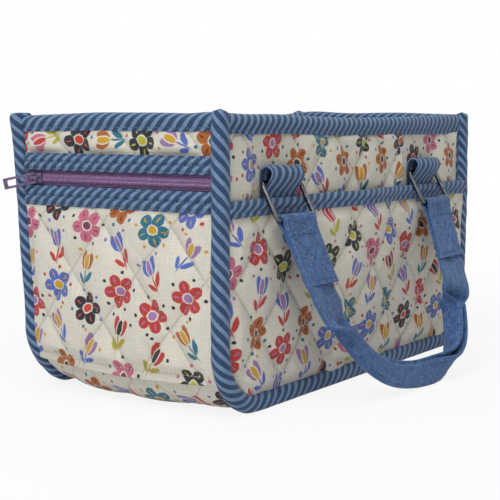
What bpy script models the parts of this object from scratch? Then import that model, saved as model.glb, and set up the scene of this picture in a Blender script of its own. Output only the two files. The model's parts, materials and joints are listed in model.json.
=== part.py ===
# Quilted knitting bag: front and back panels joined by one long gusset, bound seams and rim,
# a slip pocket on each long side, a zip pocket on one end, and two strap handles on wire rings.
# Metres. X runs along the bag (zip end at -X), Y across it (front at -Y), Z up from the floor.

import math

import bmesh
import bpy
from mathutils import Matrix, Vector

# Body
BAG_LENGTH = 0.380
BAG_DEPTH = 0.185
BAG_HEIGHT = 0.210
CORNER_RADIUS = 0.055
QUILT_THICKNESS = 0.0045
LINING_THICKNESS = 0.0015
BOARD_THICKNESS = 0.002
PAD_EDGE = 0.0014
SEAT = 0.0003

# Most of a wall's thickness that the rounding of its edge takes
EDGE_SHARE = 0.64

# Bias binding on the seams and the rim
BINDING = 0.002
BINDING_LEG = 0.011
BINDING_ROUND = 0.0022
RIM_HEIGHT = 0.0128
CORNER_BUMP = 0.0022

# Slip pocket on each long side
POCKET_DROP = 0.0594
POCKET_THICKNESS = 0.0014
POCKET_GAPE = 0.009
POCKET_BINDING = 0.001
POCKET_BINDING_HEIGHT = 0.0117

# Zip pocket on the left end
ZIP_DROP = 0.0472
BAND_GAP = 0.0113
UPPER_BAND_HEIGHT = 0.0128
LOWER_BAND_HEIGHT = 0.0149
BAND_THICKNESS = 0.002
BAND_GROOVE = 0.0006
BAND_LIP = 0.0052
ZIP_PANEL_THICKNESS = 0.002
ZIP_PANEL_WRAP = math.radians(37)
TAPE_THICKNESS = 0.0008
TAPE_WIDTH = 0.0118
COIL_WIDTH = 0.002
COIL_HEIGHT = 0.0016
COIL_GAP = 0.0004
SLIDER_LENGTH = 0.0105
SLIDER_WALL = 0.001
BRIDGE_LENGTH = 0.0085
BRIDGE_WIDTH = 0.002
BRIDGE_WALL = 0.0012
BRIDGE_OPENING = 0.0024
PULL_LENGTH = 0.026
PULL_WIDTH = 0.0082
PULL_THICKNESS = 0.001
PULL_BAR = 0.0012
PULL_WALL = 0.0018
PULL_WEB = 0.0025
PULL_TIP = 0.0029
PULL_CORNER = 0.0014
PULL_CLEARANCE = 0.0011
PULL_TILT = math.radians(20)
PULL_DROOP = math.radians(12)

# Loop tabs, rings and handles
TAB_SPREAD = 0.1105
HANDLE_SHIFT = -0.006
TAB_WIDTH = 0.040
STRAP_WIDTH = 0.042
TAB_THICKNESS = 0.0012
TAB_STAND = 0.023
TAB_BULGE = 0.012
TAB_TAIL = 0.018
WIRE = 0.0036
RING_SIDE_PLAY = 0.0015
RING_INNER_HEIGHT = 0.026
RING_CORNER = 0.004
RING_LIFT = 0.011
RING_PLAY = 0.0004
STRAP_THICKNESS = 0.0016
LAP_LENGTH = 0.050
FLAT_LENGTH = 0.054
FOLD_LENGTH = 0.034
HANDLE_DROP = 0.1445
HANDLE_FULLNESS = 2.3
GRIP_WIDTH = 0.0195
GRIP_THICKNESS = 0.0075

# Facets on round stretches, and how meshes are welded and shaded
CORNER_STEPS = 8
ROUND_STEPS = 4
GRIP_STEPS = 24
TURN_STEP = math.radians(0.5)
SHARP_ANGLE = math.radians(35)
WELD = 0.00001

# Colour, roughness and metallic value of each finish
PRINTED_COTTON = ((0.79, 0.76, 0.69, 1.0), 0.9, 0.0)
STRIPED_BINDING = ((0.13, 0.21, 0.36, 1.0), 0.85, 0.0)
CHAMBRAY = ((0.11, 0.19, 0.42, 1.0), 0.85, 0.0)
PURPLE_TAPE = ((0.20, 0.09, 0.30, 1.0), 0.8, 0.0)
PURPLE_NYLON = ((0.27, 0.13, 0.38, 1.0), 0.45, 0.0)
PURPLE_ENAMEL = ((0.30, 0.15, 0.42, 1.0), 0.35, 0.0)
GUNMETAL = ((0.10, 0.10, 0.10, 1.0), 0.3, 1.0)
GREY_BOARD = ((0.35, 0.33, 0.30, 1.0), 0.95, 0.0)

# Wall build-up, as insets from the outside of the bag
gusset_outer = BINDING + SEAT
gusset_inner = gusset_outer + QUILT_THICKNESS
lining_outer = gusset_inner + SEAT
lining_inner = lining_outer + LINING_THICKNESS
rim_depth = lining_inner + SEAT + BINDING
corner_block = rim_depth + SEAT
wall_top = BAG_HEIGHT - BINDING - SEAT
board_lift = BOARD_THICKNESS + SEAT
leg_edge = max(BINDING_LEG, corner_block) + SEAT

# Half widths across the bag
panel_face = BAG_DEPTH / 2 - gusset_outer
panel_back = BAG_DEPTH / 2 - gusset_inner
gusset_half = panel_back - SEAT
lining_half = BAG_DEPTH / 2 - lining_inner - SEAT
end_half = BAG_DEPTH / 2 - leg_edge
front_half = BAG_LENGTH / 2 - leg_edge

# Levels of the pockets
pocket_top = BAG_HEIGHT - POCKET_DROP
pocket_edge = pocket_top - POCKET_BINDING - SEAT
zip_level = BAG_HEIGHT - ZIP_DROP
lower_band_top = zip_level - BAND_GAP / 2
lower_band_bottom = lower_band_top - LOWER_BAND_HEIGHT
upper_band_bottom = zip_level + BAND_GAP / 2

# Zip layers, as distances out from the gusset on the left end
tape_face = SEAT + TAPE_THICKNESS
coil_top = tape_face + SEAT + COIL_HEIGHT
slider_top = coil_top + SEAT + SLIDER_WALL
pull_axis = slider_top + BRIDGE_OPENING / 2
slider_rest = end_half - SEAT - SLIDER_LENGTH / 2

# Tabs, ring bars and handles, as distances out from a panel's face
tab_gape = 2 * (TAB_THICKNESS + SEAT) + SEAT + POCKET_BINDING
mouth_front = 2 * SEAT + tab_gape + POCKET_THICKNESS + POCKET_BINDING
ring_out = SEAT + TAB_THICKNESS + RING_PLAY + WIRE / 2
ring_level = pocket_top + RING_LIFT
ring_height = RING_INNER_HEIGHT + WIRE
ring_reach = math.hypot(mouth_front - ring_out, RING_LIFT)
ring_lean = (math.atan2(mouth_front - ring_out, RING_LIFT)
             + math.asin((WIRE / 2 + SEAT) / ring_reach))
bar_out = ring_out + ring_height * math.sin(ring_lean)
bar_level = ring_level - ring_height * math.cos(ring_lean)
handle_lean = math.acos(min(1.0, (bar_level - SEAT) / HANDLE_DROP))
handle_sink = HANDLE_DROP - GRIP_WIDTH / 2
flat_turn = math.asin((FLAT_LENGTH / handle_sink) ** (HANDLE_FULLNESS / 2))

SIDES = {"front": -1, "back": 1}
ENDS = {"left": -1, "right": 1}

# Turns that stand a flat outline up: across the bag, and along it
FACING_FRONT = (math.pi / 2, 0.0, 0.0)
FACING_END = (math.pi / 2, 0.0, math.pi / 2)

for old in list(bpy.data.objects):
    bpy.data.objects.remove(old, do_unlink=True)
bag = bpy.data.collections.new("knitting_bag")
cutters = bpy.data.collections.new("knitting_bag_cutters")
bpy.context.scene.collection.children.link(bag)
bpy.context.scene.collection.children.link(cutters)


def dress(obj, finish):
    colour, roughness, metallic = finish
    material = bpy.data.materials.new(obj.name)
    material.use_nodes = True
    shader = material.node_tree.nodes["Principled BSDF"]
    shader.inputs["Base Color"].default_value = colour
    shader.inputs["Roughness"].default_value = roughness
    shader.inputs["Metallic"].default_value = metallic
    obj.data.materials.append(material)


def mesh_object(name, bm, collection):
    bmesh.ops.recalc_face_normals(bm, faces=bm.faces)
    mesh = bpy.data.meshes.new(name)
    bm.to_mesh(mesh)
    bm.free()
    mesh.shade_smooth()
    mesh.set_sharp_from_angle(angle=SHARP_ANGLE)
    obj = bpy.data.objects.new(name, mesh)
    collection.objects.link(obj)
    return obj


def flat_object(name, outlines, thickness, turn, centre, collection):
    curve = bpy.data.curves.new(name, "CURVE")
    curve.dimensions = "2D"
    curve.fill_mode = "BOTH"
    curve.extrude = thickness / 2
    for outline in outlines:
        spline = curve.splines.new("POLY")
        spline.points.add(len(outline) - 1)
        for point, (a, b) in zip(spline.points, outline):
            point.co = (a, b, 0.0, 1.0)
        spline.use_cyclic_u = True
    obj = bpy.data.objects.new(name, curve)
    obj.location = centre
    obj.rotation_euler = turn
    collection.objects.link(obj)
    return obj


def as_mesh(obj):
    # A welded mesh in the place of a filled outline, ready to be joined to another piece
    bpy.context.view_layer.update()
    evaluated = obj.evaluated_get(bpy.context.evaluated_depsgraph_get())
    mesh = bpy.data.meshes.new_from_object(evaluated)
    bm = bmesh.new()
    bm.from_mesh(mesh)
    bmesh.ops.remove_doubles(bm, verts=bm.verts, dist=WELD)
    bmesh.ops.recalc_face_normals(bm, faces=bm.faces)
    bm.to_mesh(mesh)
    bm.free()
    solid = bpy.data.objects.new(obj.name, mesh)
    solid.matrix_world = obj.matrix_world.copy()
    for collection in obj.users_collection:
        collection.objects.link(solid)
    name = obj.name
    bpy.data.objects.remove(obj, do_unlink=True)
    solid.name = name
    return solid


def join(obj, other):
    # The other solid becomes part of this one
    other.hide_render = True
    other.display_type = "WIRE"
    union = obj.modifiers.new("join_" + other.name, "BOOLEAN")
    union.operation = "UNION"
    union.object = other


def mirror_halves(obj):
    mirror = obj.modifiers.new("halves", "MIRROR")
    mirror.use_axis = (True, False, False)
    mirror.merge_threshold = WELD


def arc(centre_a, centre_b, radius, start, end, steps):
    angles = [start + (end - start) * i / steps for i in range(steps + 1)]
    return [(centre_a + radius * math.cos(t), centre_b + radius * math.sin(t)) for t in angles]


def rounded_box(left, bottom, right, top, radius):
    quarter = math.pi / 2
    corners = ((right - radius, top - radius, 0), (left + radius, top - radius, 1),
               (left + radius, bottom + radius, 2), (right - radius, bottom + radius, 3))
    points = []
    for a, b, turn in corners:
        points += arc(a, b, radius, turn * quarter, (turn + 1) * quarter, ROUND_STEPS)
    return points


def ribbon(path, thickness):
    # Closed outline of a strip that follows a path, half its thickness to each side
    left, right = [], []
    for i, (a, b) in enumerate(path):
        before = path[max(i - 1, 0)]
        after = path[min(i + 1, len(path) - 1)]
        along = Vector((after[0] - before[0], after[1] - before[1])).normalized()
        left.append((a - along.y * thickness / 2, b + along.x * thickness / 2))
        right.append((a + along.y * thickness / 2, b - along.x * thickness / 2))
    return left + right[::-1]


def bottom_run(inset):
    # Left corner arc, base and right corner arc of the bag's outline, as (x, z)
    reach = BAG_LENGTH / 2 - CORNER_RADIUS
    radius = CORNER_RADIUS - inset
    left = arc(-reach, CORNER_RADIUS, radius, math.pi, 1.5 * math.pi, CORNER_STEPS)
    right = arc(reach, CORNER_RADIUS, radius, 1.5 * math.pi, 2 * math.pi, CORNER_STEPS)
    return left, right


def plate_outline(inset):
    left, right = bottom_run(inset)
    side = BAG_LENGTH / 2 - inset
    return [(-side, wall_top)] + left + right + [(side, wall_top)]


def push(bm, face, shift):
    # Draws a face straight out, and drops the face that is then inside the solid
    grown = bmesh.ops.extrude_face_region(bm, geom=[face])["geom"]
    moved = [g for g in grown if isinstance(g, bmesh.types.BMVert)]
    bmesh.ops.translate(bm, verts=moved, vec=shift)
    if any(len(edge.link_faces) > 2 for edge in face.edges):
        bmesh.ops.delete(bm, geom=[face], context="FACES_ONLY")
    return next(g for g in grown if isinstance(g, bmesh.types.BMFace))


def turn_corner(bm, face, lift, angle):
    # Carries a face round the bag's lower left corner
    centre = (CORNER_RADIUS - BAG_LENGTH / 2, 0.0, CORNER_RADIUS + lift)
    spun = bmesh.ops.spin(bm, geom=[face, *face.edges, *face.verts], cent=centre, axis=(0, 1, 0),
                          dvec=(0, 0, 0), angle=-angle, steps=CORNER_STEPS, use_merge=False,
                          use_normal_flip=False, use_duplicate=False)
    return next(g for g in spun["geom_last"] if isinstance(g, bmesh.types.BMFace))


def section_face(bm, section, top):
    return bm.faces.new([bm.verts.new((inset - BAG_LENGTH / 2, y, top)) for inset, y in section])


def half_run(section, top, lift):
    # Down the left end, round the corner and along the base to the middle, open there
    bm = bmesh.new()
    face = section_face(bm, section, top)
    face = push(bm, face, (0, 0, CORNER_RADIUS + lift - top))
    face = turn_corner(bm, face, lift, math.pi / 2)
    face = push(bm, face, (BAG_LENGTH / 2 - CORNER_RADIUS, 0, 0))
    bmesh.ops.delete(bm, geom=[face], context="FACES_ONLY")
    return bm


def strip_section(outer, inner, half):
    return ((outer, -half), (outer, half), (inner, half), (inner, -half))


def box_object(name, low, high, rounding, collection):
    bm = bmesh.new()
    bmesh.ops.create_cube(bm, size=1.0)
    size = Vector(high) - Vector(low)
    middle = (Vector(high) + Vector(low)) / 2
    bmesh.ops.transform(bm, matrix=Matrix.Translation(middle) @ Matrix.Diagonal((*size, 1.0)),
                        verts=bm.verts)
    if rounding:
        bmesh.ops.bevel(bm, geom=bm.edges[:], offset=rounding, segments=2, profile=0.5,
                        affect="EDGES")
    return mesh_object(name, bm, collection)


# Panels, linings, gusset and base

def make_panels():
    for name, side in SIDES.items():
        panel_middle = side * (panel_face + panel_back) / 2
        panel = flat_object(name + "_panel", [plate_outline(gusset_outer)], QUILT_THICKNESS,
                            FACING_FRONT, (0, panel_middle, 0), bag)
        dress(panel, PRINTED_COTTON)
        lining_middle = side * (BAG_DEPTH / 2 - (lining_outer + lining_inner) / 2)
        lining = flat_object(name + "_lining", [plate_outline(lining_outer)], LINING_THICKNESS,
                             FACING_FRONT, (0, lining_middle, 0), bag)
        dress(lining, CHAMBRAY)


def make_gusset():
    section = strip_section(gusset_outer, gusset_inner, gusset_half)
    gusset = mesh_object("gusset", half_run(section, wall_top, 0.0), bag)
    mirror_halves(gusset)
    pad_end = BAG_LENGTH / 2 - CORNER_RADIUS
    pad_top = (gusset_outer + gusset_inner) / 2
    pad = box_object("base_swell", (-pad_end, -end_half, 0.0), (pad_end, end_half, pad_top),
                     0.0, cutters)
    bm = bmesh.new()
    bm.from_mesh(pad.data)
    rim = [e for e in bm.edges if all(v.co.z < SEAT for v in e.verts)]
    bmesh.ops.bevel(bm, geom=rim, offset=min(PAD_EDGE, gusset_outer * EDGE_SHARE), segments=2,
                    profile=0.5, affect="EDGES")
    bm.to_mesh(pad.data)
    bm.free()
    join(gusset, pad)
    dress(gusset, PRINTED_COTTON)

    section = strip_section(lining_outer, lining_inner, lining_half)
    lining = mesh_object("gusset_lining", half_run(section, wall_top, board_lift), bag)
    mirror_halves(lining)
    dress(lining, CHAMBRAY)

    board_bottom = gusset_inner + SEAT
    board = box_object("base_board", (-pad_end, -lining_half, board_bottom),
                       (pad_end, lining_half, board_bottom + BOARD_THICKNESS), 0.0, bag)
    dress(board, GREY_BOARD)


# Bias binding round the panel seams and along the rim

def make_seam_binding(name, side):
    face = BAG_DEPTH / 2
    rounded = arc(BINDING_ROUND, BINDING_ROUND, BINDING_ROUND, math.pi, 1.5 * math.pi, ROUND_STEPS)
    section = [(0.0, BINDING_LEG)] + rounded + [(BINDING_LEG, 0.0), (BINDING_LEG, BINDING),
                                                (BINDING, BINDING), (BINDING, BINDING_LEG)]
    section = [(inset, side * (face - depth)) for inset, depth in section]
    binding = mesh_object(name + "_seam_binding", half_run(section, BAG_HEIGHT, 0.0), bag)
    mirror_halves(binding)
    for end, toward in ENDS.items():
        xs = sorted((toward * BAG_LENGTH / 2, toward * (BAG_LENGTH / 2 - corner_block)))
        ys = sorted((side * face, side * (face - corner_block)))
        low = (xs[0], ys[0], BAG_HEIGHT - BINDING)
        high = (xs[1], ys[1], BAG_HEIGHT + CORNER_BUMP)
        block = box_object(name + "_" + end + "_binding_end", low, high,
                           BINDING_ROUND * EDGE_SHARE, cutters)
        join(binding, block)
    dress(binding, STRIPED_BINDING)


def rim_outline(toward, half):
    # Inverted U over the wall and its lining, drawn across the wall
    low = BAG_HEIGHT - RIM_HEIGHT
    corner = BINDING * EDGE_SHARE
    outer = arc(corner, BAG_HEIGHT - corner, corner, math.pi, math.pi / 2, ROUND_STEPS)
    inner = arc(rim_depth - corner, BAG_HEIGHT - corner, corner, math.pi / 2, 0, ROUND_STEPS)
    leg = rim_depth - BINDING
    under = BAG_HEIGHT - BINDING
    points = [(0.0, low)] + outer + inner + [(rim_depth, low), (leg, low), (leg, under),
                                             (BINDING, under), (BINDING, low)]
    return [(toward * (half - inset), z) for inset, z in points]


def make_bindings():
    for name, side in SIDES.items():
        make_seam_binding(name, side)
        rim = flat_object(name + "_rim_binding", [rim_outline(side, BAG_DEPTH / 2)],
                          2 * front_half, FACING_END, (0, 0, 0), bag)
        dress(rim, STRIPED_BINDING)
    for name, toward in ENDS.items():
        rim = flat_object(name + "_rim_binding", [rim_outline(toward, BAG_LENGTH / 2)],
                          2 * end_half, FACING_FRONT, (0, 0, 0), bag)
        dress(rim, STRIPED_BINDING)


# Slip pockets: held shut at the tabs, gaping between them

def mouth_gape(x):
    held = TAB_SPREAD - STRAP_WIDTH / 2 - ring_height / 2
    free = max(0.0, 1.0 - ((x - HANDLE_SHIFT) / held) ** 2) if held > 0 else 0.0
    return tab_gape + max(0.0, POCKET_GAPE - tab_gape) * free ** 2


def pocket_columns():
    left, right = bottom_run(leg_edge)
    reach = right[0][0]
    base = left[-1][1]
    spans = 2 * CORNER_STEPS
    middle = [(-reach + 2 * reach * i / spans, base) for i in range(1, spans)]
    return left + middle + right


def make_pocket(name, side):
    columns = pocket_columns()
    rows = CORNER_STEPS
    bm = bmesh.new()
    bmesh.ops.create_grid(bm, x_segments=len(columns) - 1, y_segments=rows, size=1.0)
    for vert in bm.verts:
        x, foot = columns[round((vert.co.x + 1) / 2 * (len(columns) - 1))]
        rise = (vert.co.y + 1) / 2
        out = SEAT + mouth_gape(x) * math.sin(rise * math.pi / 2)
        vert.co = (x, side * (panel_face + out), foot + (pocket_edge - foot) * rise)
    grown = bmesh.ops.extrude_face_region(bm, geom=bm.faces[:])["geom"]
    outer = [g for g in grown if isinstance(g, bmesh.types.BMVert)]
    bmesh.ops.translate(bm, verts=outer, vec=(0, side * POCKET_THICKNESS, 0))
    dress(mesh_object(name + "_pocket", bm, bag), PRINTED_COTTON)


def make_pocket_binding(name, side):
    stations = [x for x, foot in pocket_columns()]
    inner = -POCKET_BINDING
    outer = 2 * SEAT + POCKET_THICKNESS + POCKET_BINDING
    low = pocket_top - POCKET_BINDING_HEIGHT
    under = pocket_top - POCKET_BINDING
    soft = POCKET_BINDING * EDGE_SHARE
    section = ((inner, low), (inner, pocket_top - soft), (inner + soft, pocket_top),
               (outer - soft, pocket_top), (outer, pocket_top - soft), (outer, low),
               (outer - POCKET_BINDING, low), (outer - POCKET_BINDING, under),
               (inner + POCKET_BINDING, under), (inner + POCKET_BINDING, low))
    bm = bmesh.new()
    first = stations[0]
    start = panel_face + mouth_gape(first)
    face = bm.faces.new([bm.verts.new((first, side * (start + out), z)) for out, z in section])
    for here, there in zip(stations, stations[1:]):
        step = mouth_gape(there) - mouth_gape(here)
        face = push(bm, face, (there - here, side * step, 0))
    dress(mesh_object(name + "_pocket_binding", bm, bag), STRIPED_BINDING)


# Zip pocket on the left end

def end_x(out):
    return gusset_outer - BAG_LENGTH / 2 - out


def make_zip_panel():
    outer = gusset_outer - SEAT - ZIP_PANEL_THICKNESS
    section = strip_section(outer, gusset_outer - SEAT, end_half)
    top = lower_band_bottom - SEAT
    bm = bmesh.new()
    face = section_face(bm, section, top)
    face = push(bm, face, (0, 0, CORNER_RADIUS - top))
    turn_corner(bm, face, 0.0, ZIP_PANEL_WRAP)
    dress(mesh_object("zip_pocket_panel", bm, bag), PRINTED_COTTON)


def band_outline(edge, away, height):
    # A folded strip with a stitched groove; its edge by the zip lies over the tape
    out = tape_face + SEAT + BAND_THICKNESS
    soft = BAND_GROOVE
    tape_end = zip_level + away * (COIL_GAP / 2 + TAPE_WIDTH + SEAT)
    groove = edge + away * (height - BAND_LIP)
    far = edge + away * height
    points = [(tape_face + SEAT, edge), (out - soft, edge), (out, edge + away * soft),
              (out, groove - away * soft), (out - soft, groove), (out, groove + away * soft),
              (out, far - away * soft), (out - soft, far), (SEAT, far), (SEAT, tape_end),
              (tape_face + SEAT, tape_end)]
    return [(end_x(q), z) for q, z in points]


def make_zip():
    width = 2 * end_half
    upper_band = band_outline(upper_band_bottom, 1, UPPER_BAND_HEIGHT)
    lower_band = band_outline(lower_band_top, -1, LOWER_BAND_HEIGHT)
    for name, outline in (("zip_band_upper", upper_band), ("zip_band_lower", lower_band)):
        band = flat_object(name, [outline], width, FACING_FRONT, (0, 0, 0), bag)
        dress(band, STRIPED_BINDING)
    for name, away in (("upper", 1), ("lower", -1)):
        near = zip_level + away * COIL_GAP / 2
        zs = sorted((near, near + away * TAPE_WIDTH))
        tape = box_object("zip_tape_" + name, (end_x(tape_face), -end_half, zs[0]),
                          (end_x(SEAT), end_half, zs[1]), 0.0, bag)
        dress(tape, PURPLE_TAPE)
        zs = sorted((near, near + away * COIL_WIDTH))
        coil = rounded_box(end_x(coil_top), zs[0], end_x(tape_face + SEAT), zs[1],
                           min(COIL_HEIGHT, COIL_WIDTH) / 2 * EDGE_SHARE)
        row = flat_object("zip_coil_" + name, [coil], width, FACING_FRONT, (0, 0, 0), bag)
        dress(row, PURPLE_NYLON)


def make_slider():
    wing = COIL_GAP / 2 + COIL_WIDTH + SEAT
    half = wing + SLIDER_WALL
    foot = tape_face + SEAT
    under = coil_top + SEAT
    staple = ((foot, -half), (slider_top, -half), (slider_top, half), (foot, half), (foot, wing),
              (under, wing), (under, -wing), (foot, -wing))
    outline = [(end_x(q), zip_level + z) for q, z in staple]
    slider = flat_object("zip_slider", [outline], SLIDER_LENGTH, FACING_FRONT,
                         (0, slider_rest, 0), bag)
    slider = as_mesh(slider)

    reach = BRIDGE_LENGTH / 2
    root = slider_top - SLIDER_WALL / 2
    peak = slider_top + BRIDGE_OPENING + BRIDGE_WALL
    ceiling = slider_top + BRIDGE_OPENING
    gap = reach - BRIDGE_WALL
    soft = BRIDGE_WALL * EDGE_SHARE
    sill = slider_top - SLIDER_WALL / 4
    arch = ((root, -reach), (peak - soft, -reach), (peak, soft - reach), (peak, reach - soft),
            (peak - soft, reach), (root, reach), (root, gap), (sill, gap), (ceiling, gap),
            (ceiling, -gap), (sill, -gap), (root, -gap))
    outline = [(end_x(q), y) for q, y in arch]
    bridge = flat_object("slider_bridge", [outline], BRIDGE_WIDTH, (0, 0, 0),
                         (0, slider_rest, zip_level), cutters)
    join(slider, as_mesh(bridge))
    dress(slider, PURPLE_ENAMEL)


def make_pull():
    half = PULL_WIDTH / 2
    bar = PULL_BAR / 2
    clear = half - PULL_WALL
    eye_end = BRIDGE_LENGTH / 2 + PULL_CLEARANCE
    corner = min(PULL_CORNER, clear * EDGE_SHARE)
    outer = rounded_box(-bar, -half, PULL_LENGTH, half, bar)
    eye = rounded_box(bar, -clear, eye_end, clear, corner / 2)
    slot = rounded_box(eye_end + PULL_WEB, -clear, PULL_LENGTH - PULL_TIP, clear, corner)
    turn = (Matrix.Rotation(PULL_TILT, 4, "Z") @ Matrix.Rotation(-PULL_DROOP, 4, "X")
            @ Matrix.Rotation(math.pi / 2, 4, "Z") @ Matrix.Rotation(math.pi / 2, 4, "X"))
    pull = flat_object("zip_pull", [outer, eye, slot], PULL_THICKNESS, turn.to_euler(),
                       (end_x(pull_axis), slider_rest, zip_level), bag)
    dress(pull, PURPLE_ENAMEL)


# Loop tabs, rings and handles

def tab_path():
    # Up the panel, over the loop, and back in behind the pocket binding, as (out, level)
    back = SEAT + TAB_THICKNESS / 2
    front = back + TAB_THICKNESS + SEAT
    radius = (TAB_BULGE - TAB_THICKNESS / 2 - back) / 2
    crown = TAB_STAND - TAB_THICKNESS / 2 - radius
    top = arc(back + radius, crown, radius, math.pi, 0, 2 * ROUND_STEPS)
    path = [(back, -TAB_TAIL)] + top
    steps = 2 * ROUND_STEPS
    for i in range(1, steps + 1):
        drop = i / steps
        ease = drop * drop * (3 - 2 * drop)
        path.append((top[-1][0] + (front - top[-1][0]) * ease, min(crown, RING_LIFT) * (1 - drop)))
    return path + [(front, -TAB_TAIL)]


def make_tab(name, side, x):
    outline = [(side * (panel_face + out), pocket_top + level)
               for out, level in ribbon(tab_path(), TAB_THICKNESS)]
    tab = flat_object(name, [outline], TAB_WIDTH, FACING_END, (x, 0, 0), bag)
    dress(tab, STRIPED_BINDING)


def make_ring(name, side, x):
    half = max(STRAP_WIDTH, TAB_WIDTH) / 2 + RING_SIDE_PLAY + WIRE / 2
    path = rounded_box(-half, -ring_height, half, 0.0, RING_CORNER)
    curve = bpy.data.curves.new(name, "CURVE")
    curve.dimensions = "3D"
    curve.bevel_depth = WIRE / 2
    curve.bevel_resolution = 2
    spline = curve.splines.new("POLY")
    spline.points.add(len(path) - 1)
    for point, (across, level) in zip(spline.points, path):
        point.co = (across, 0.0, level, 1.0)
    spline.use_cyclic_u = True
    ring = bpy.data.objects.new(name, curve)
    ring.location = (x, side * (panel_face + ring_out), ring_level)
    ring.rotation_euler = (side * ring_lean, 0, 0)
    bag.objects.link(ring)
    dress(ring, GUNMETAL)


def leg_outline(side):
    # Strap end folded over the ring's lower bar; the lap lies on the outside
    eye = WIRE / 2 + RING_PLAY
    outside = eye + STRAP_THICKNESS
    neck = -2 * outside
    round_bar = arc(0, 0, outside, -math.pi / 4, 1.25 * math.pi, 3 * ROUND_STEPS)
    outline = [(-STRAP_THICKNESS, -FLAT_LENGTH), (0.0, -FLAT_LENGTH), (0.0, -LAP_LENGTH),
               (STRAP_THICKNESS, -LAP_LENGTH), (STRAP_THICKNESS, neck)]
    outline += round_bar + [(-STRAP_THICKNESS, neck)]
    hole = arc(0, 0, eye, 0, 2 * math.pi, 3 * ROUND_STEPS)[:-1]
    return [[(side * out, level) for out, level in loop] for loop in (outline, hole)]


def handle_point(turn):
    # A point on the full half oval on which the strap hangs, below the ring bars
    across = math.copysign(abs(math.cos(turn)) ** (2 / HANDLE_FULLNESS), math.cos(turn))
    return Vector((-TAB_SPREAD * across, 0.0, -handle_sink * math.sin(turn) ** (2 / HANDLE_FULLNESS)))


def grip_section(turn, side, inside):
    # Eight-sided section of the strap, flat near its ends and folded lengthwise in the middle
    middle = handle_point(turn)
    along = (handle_point(turn + TURN_STEP) - handle_point(turn - TURN_STEP)).normalized()
    across = Vector((-along.z, 0.0, along.x))
    folded = min(1.0, max(0.0, (-middle.z - FLAT_LENGTH) / FOLD_LENGTH))
    folded = folded * folded * (3 - 2 * folded)
    width = STRAP_WIDTH + (GRIP_WIDTH - STRAP_WIDTH) * folded - inside
    depth = STRAP_THICKNESS + (GRIP_THICKNESS - STRAP_THICKNESS) * folded - inside / 2
    half = width / 2
    thick = depth / 2
    soft = thick * EDGE_SHARE
    seat = Vector((0.0, -side * STRAP_THICKNESS / 2 * (1 - folded), 0.0))
    corners = ((half - soft, -thick), (half, soft - thick), (half, thick - soft),
               (half - soft, thick), (soft - half, thick), (-half, thick - soft),
               (-half, soft - thick), (soft - half, -thick))
    return [middle + seat + across * a + Vector((0, b, 0)) for a, b in corners]


def make_handle(name, side):
    bm = bmesh.new()
    overlap = Vector((0, 0, 4 * STRAP_THICKNESS))
    buried = STRAP_THICKNESS / 2
    start = [p + overlap for p in grip_section(flat_turn, side, buried)]
    face = bm.faces.new([bm.verts.new(p) for p in start])
    step = (math.pi - 2 * flat_turn) / GRIP_STEPS
    sections = [grip_section(flat_turn + step * i, side, 0.0) for i in range(1, GRIP_STEPS)]
    sections.append([p + overlap for p in grip_section(math.pi - flat_turn, side, buried)])
    for section in sections:
        face = push(bm, face, (0, 0, 0))
        for vert, place in zip(face.verts, section):
            vert.co = place
    handle = mesh_object(name + "_handle", bm, bag)
    handle.location = (HANDLE_SHIFT, side * (panel_face + bar_out), bar_level)
    handle.rotation_euler = (side * handle_lean, 0, 0)
    for end, toward in ENDS.items():
        turn = handle.rotation_euler.to_matrix() @ Matrix.Rotation(math.pi / 2, 3, "Z")
        turn = turn @ Matrix.Rotation(math.pi / 2, 3, "X")
        leg = flat_object(name + "_" + end + "_strap_end", leg_outline(side), STRAP_WIDTH,
                          turn.to_euler(), handle.location, cutters)
        leg.location.x += toward * TAB_SPREAD
        leg = as_mesh(leg)
        skew = Matrix.Identity(4)
        skew[2][1] = toward * (TAB_SPREAD + handle_point(flat_turn).x) / FLAT_LENGTH
        leg.data.transform(skew)
        join(handle, leg)
    dress(handle, CHAMBRAY)


make_panels()
make_gusset()
make_bindings()
make_zip_panel()
make_zip()
make_slider()
make_pull()
for side_name, side_sign in SIDES.items():
    make_pocket(side_name, side_sign)
    make_pocket_binding(side_name, side_sign)
    for end_name, end_sign in ENDS.items():
        place = side_name + "_" + end_name
        tab_middle = HANDLE_SHIFT + end_sign * TAB_SPREAD
        make_tab(place + "_tab", side_sign, tab_middle)
        make_ring(place + "_ring", side_sign, tab_middle)
    make_handle(side_name, side_sign)
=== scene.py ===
import json
import math

import bmesh
import bpy
from mathutils import Matrix, Vector, noise


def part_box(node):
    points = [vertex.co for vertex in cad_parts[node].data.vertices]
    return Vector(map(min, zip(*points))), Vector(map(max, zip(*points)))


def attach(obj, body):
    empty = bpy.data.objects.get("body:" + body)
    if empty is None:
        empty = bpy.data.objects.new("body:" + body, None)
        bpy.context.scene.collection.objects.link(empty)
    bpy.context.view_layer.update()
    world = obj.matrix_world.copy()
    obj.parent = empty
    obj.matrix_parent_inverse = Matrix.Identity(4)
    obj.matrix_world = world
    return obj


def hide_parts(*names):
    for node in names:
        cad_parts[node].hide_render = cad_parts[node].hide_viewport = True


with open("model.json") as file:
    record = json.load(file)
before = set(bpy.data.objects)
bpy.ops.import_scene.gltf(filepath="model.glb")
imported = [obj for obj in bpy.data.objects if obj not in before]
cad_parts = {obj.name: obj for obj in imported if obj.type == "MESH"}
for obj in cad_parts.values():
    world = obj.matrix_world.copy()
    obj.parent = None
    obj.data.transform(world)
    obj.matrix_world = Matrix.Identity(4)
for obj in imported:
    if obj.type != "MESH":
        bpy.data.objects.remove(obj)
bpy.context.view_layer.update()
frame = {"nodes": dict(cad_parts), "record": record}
print("frame loaded:", len(frame["nodes"]), "nodes")

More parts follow.
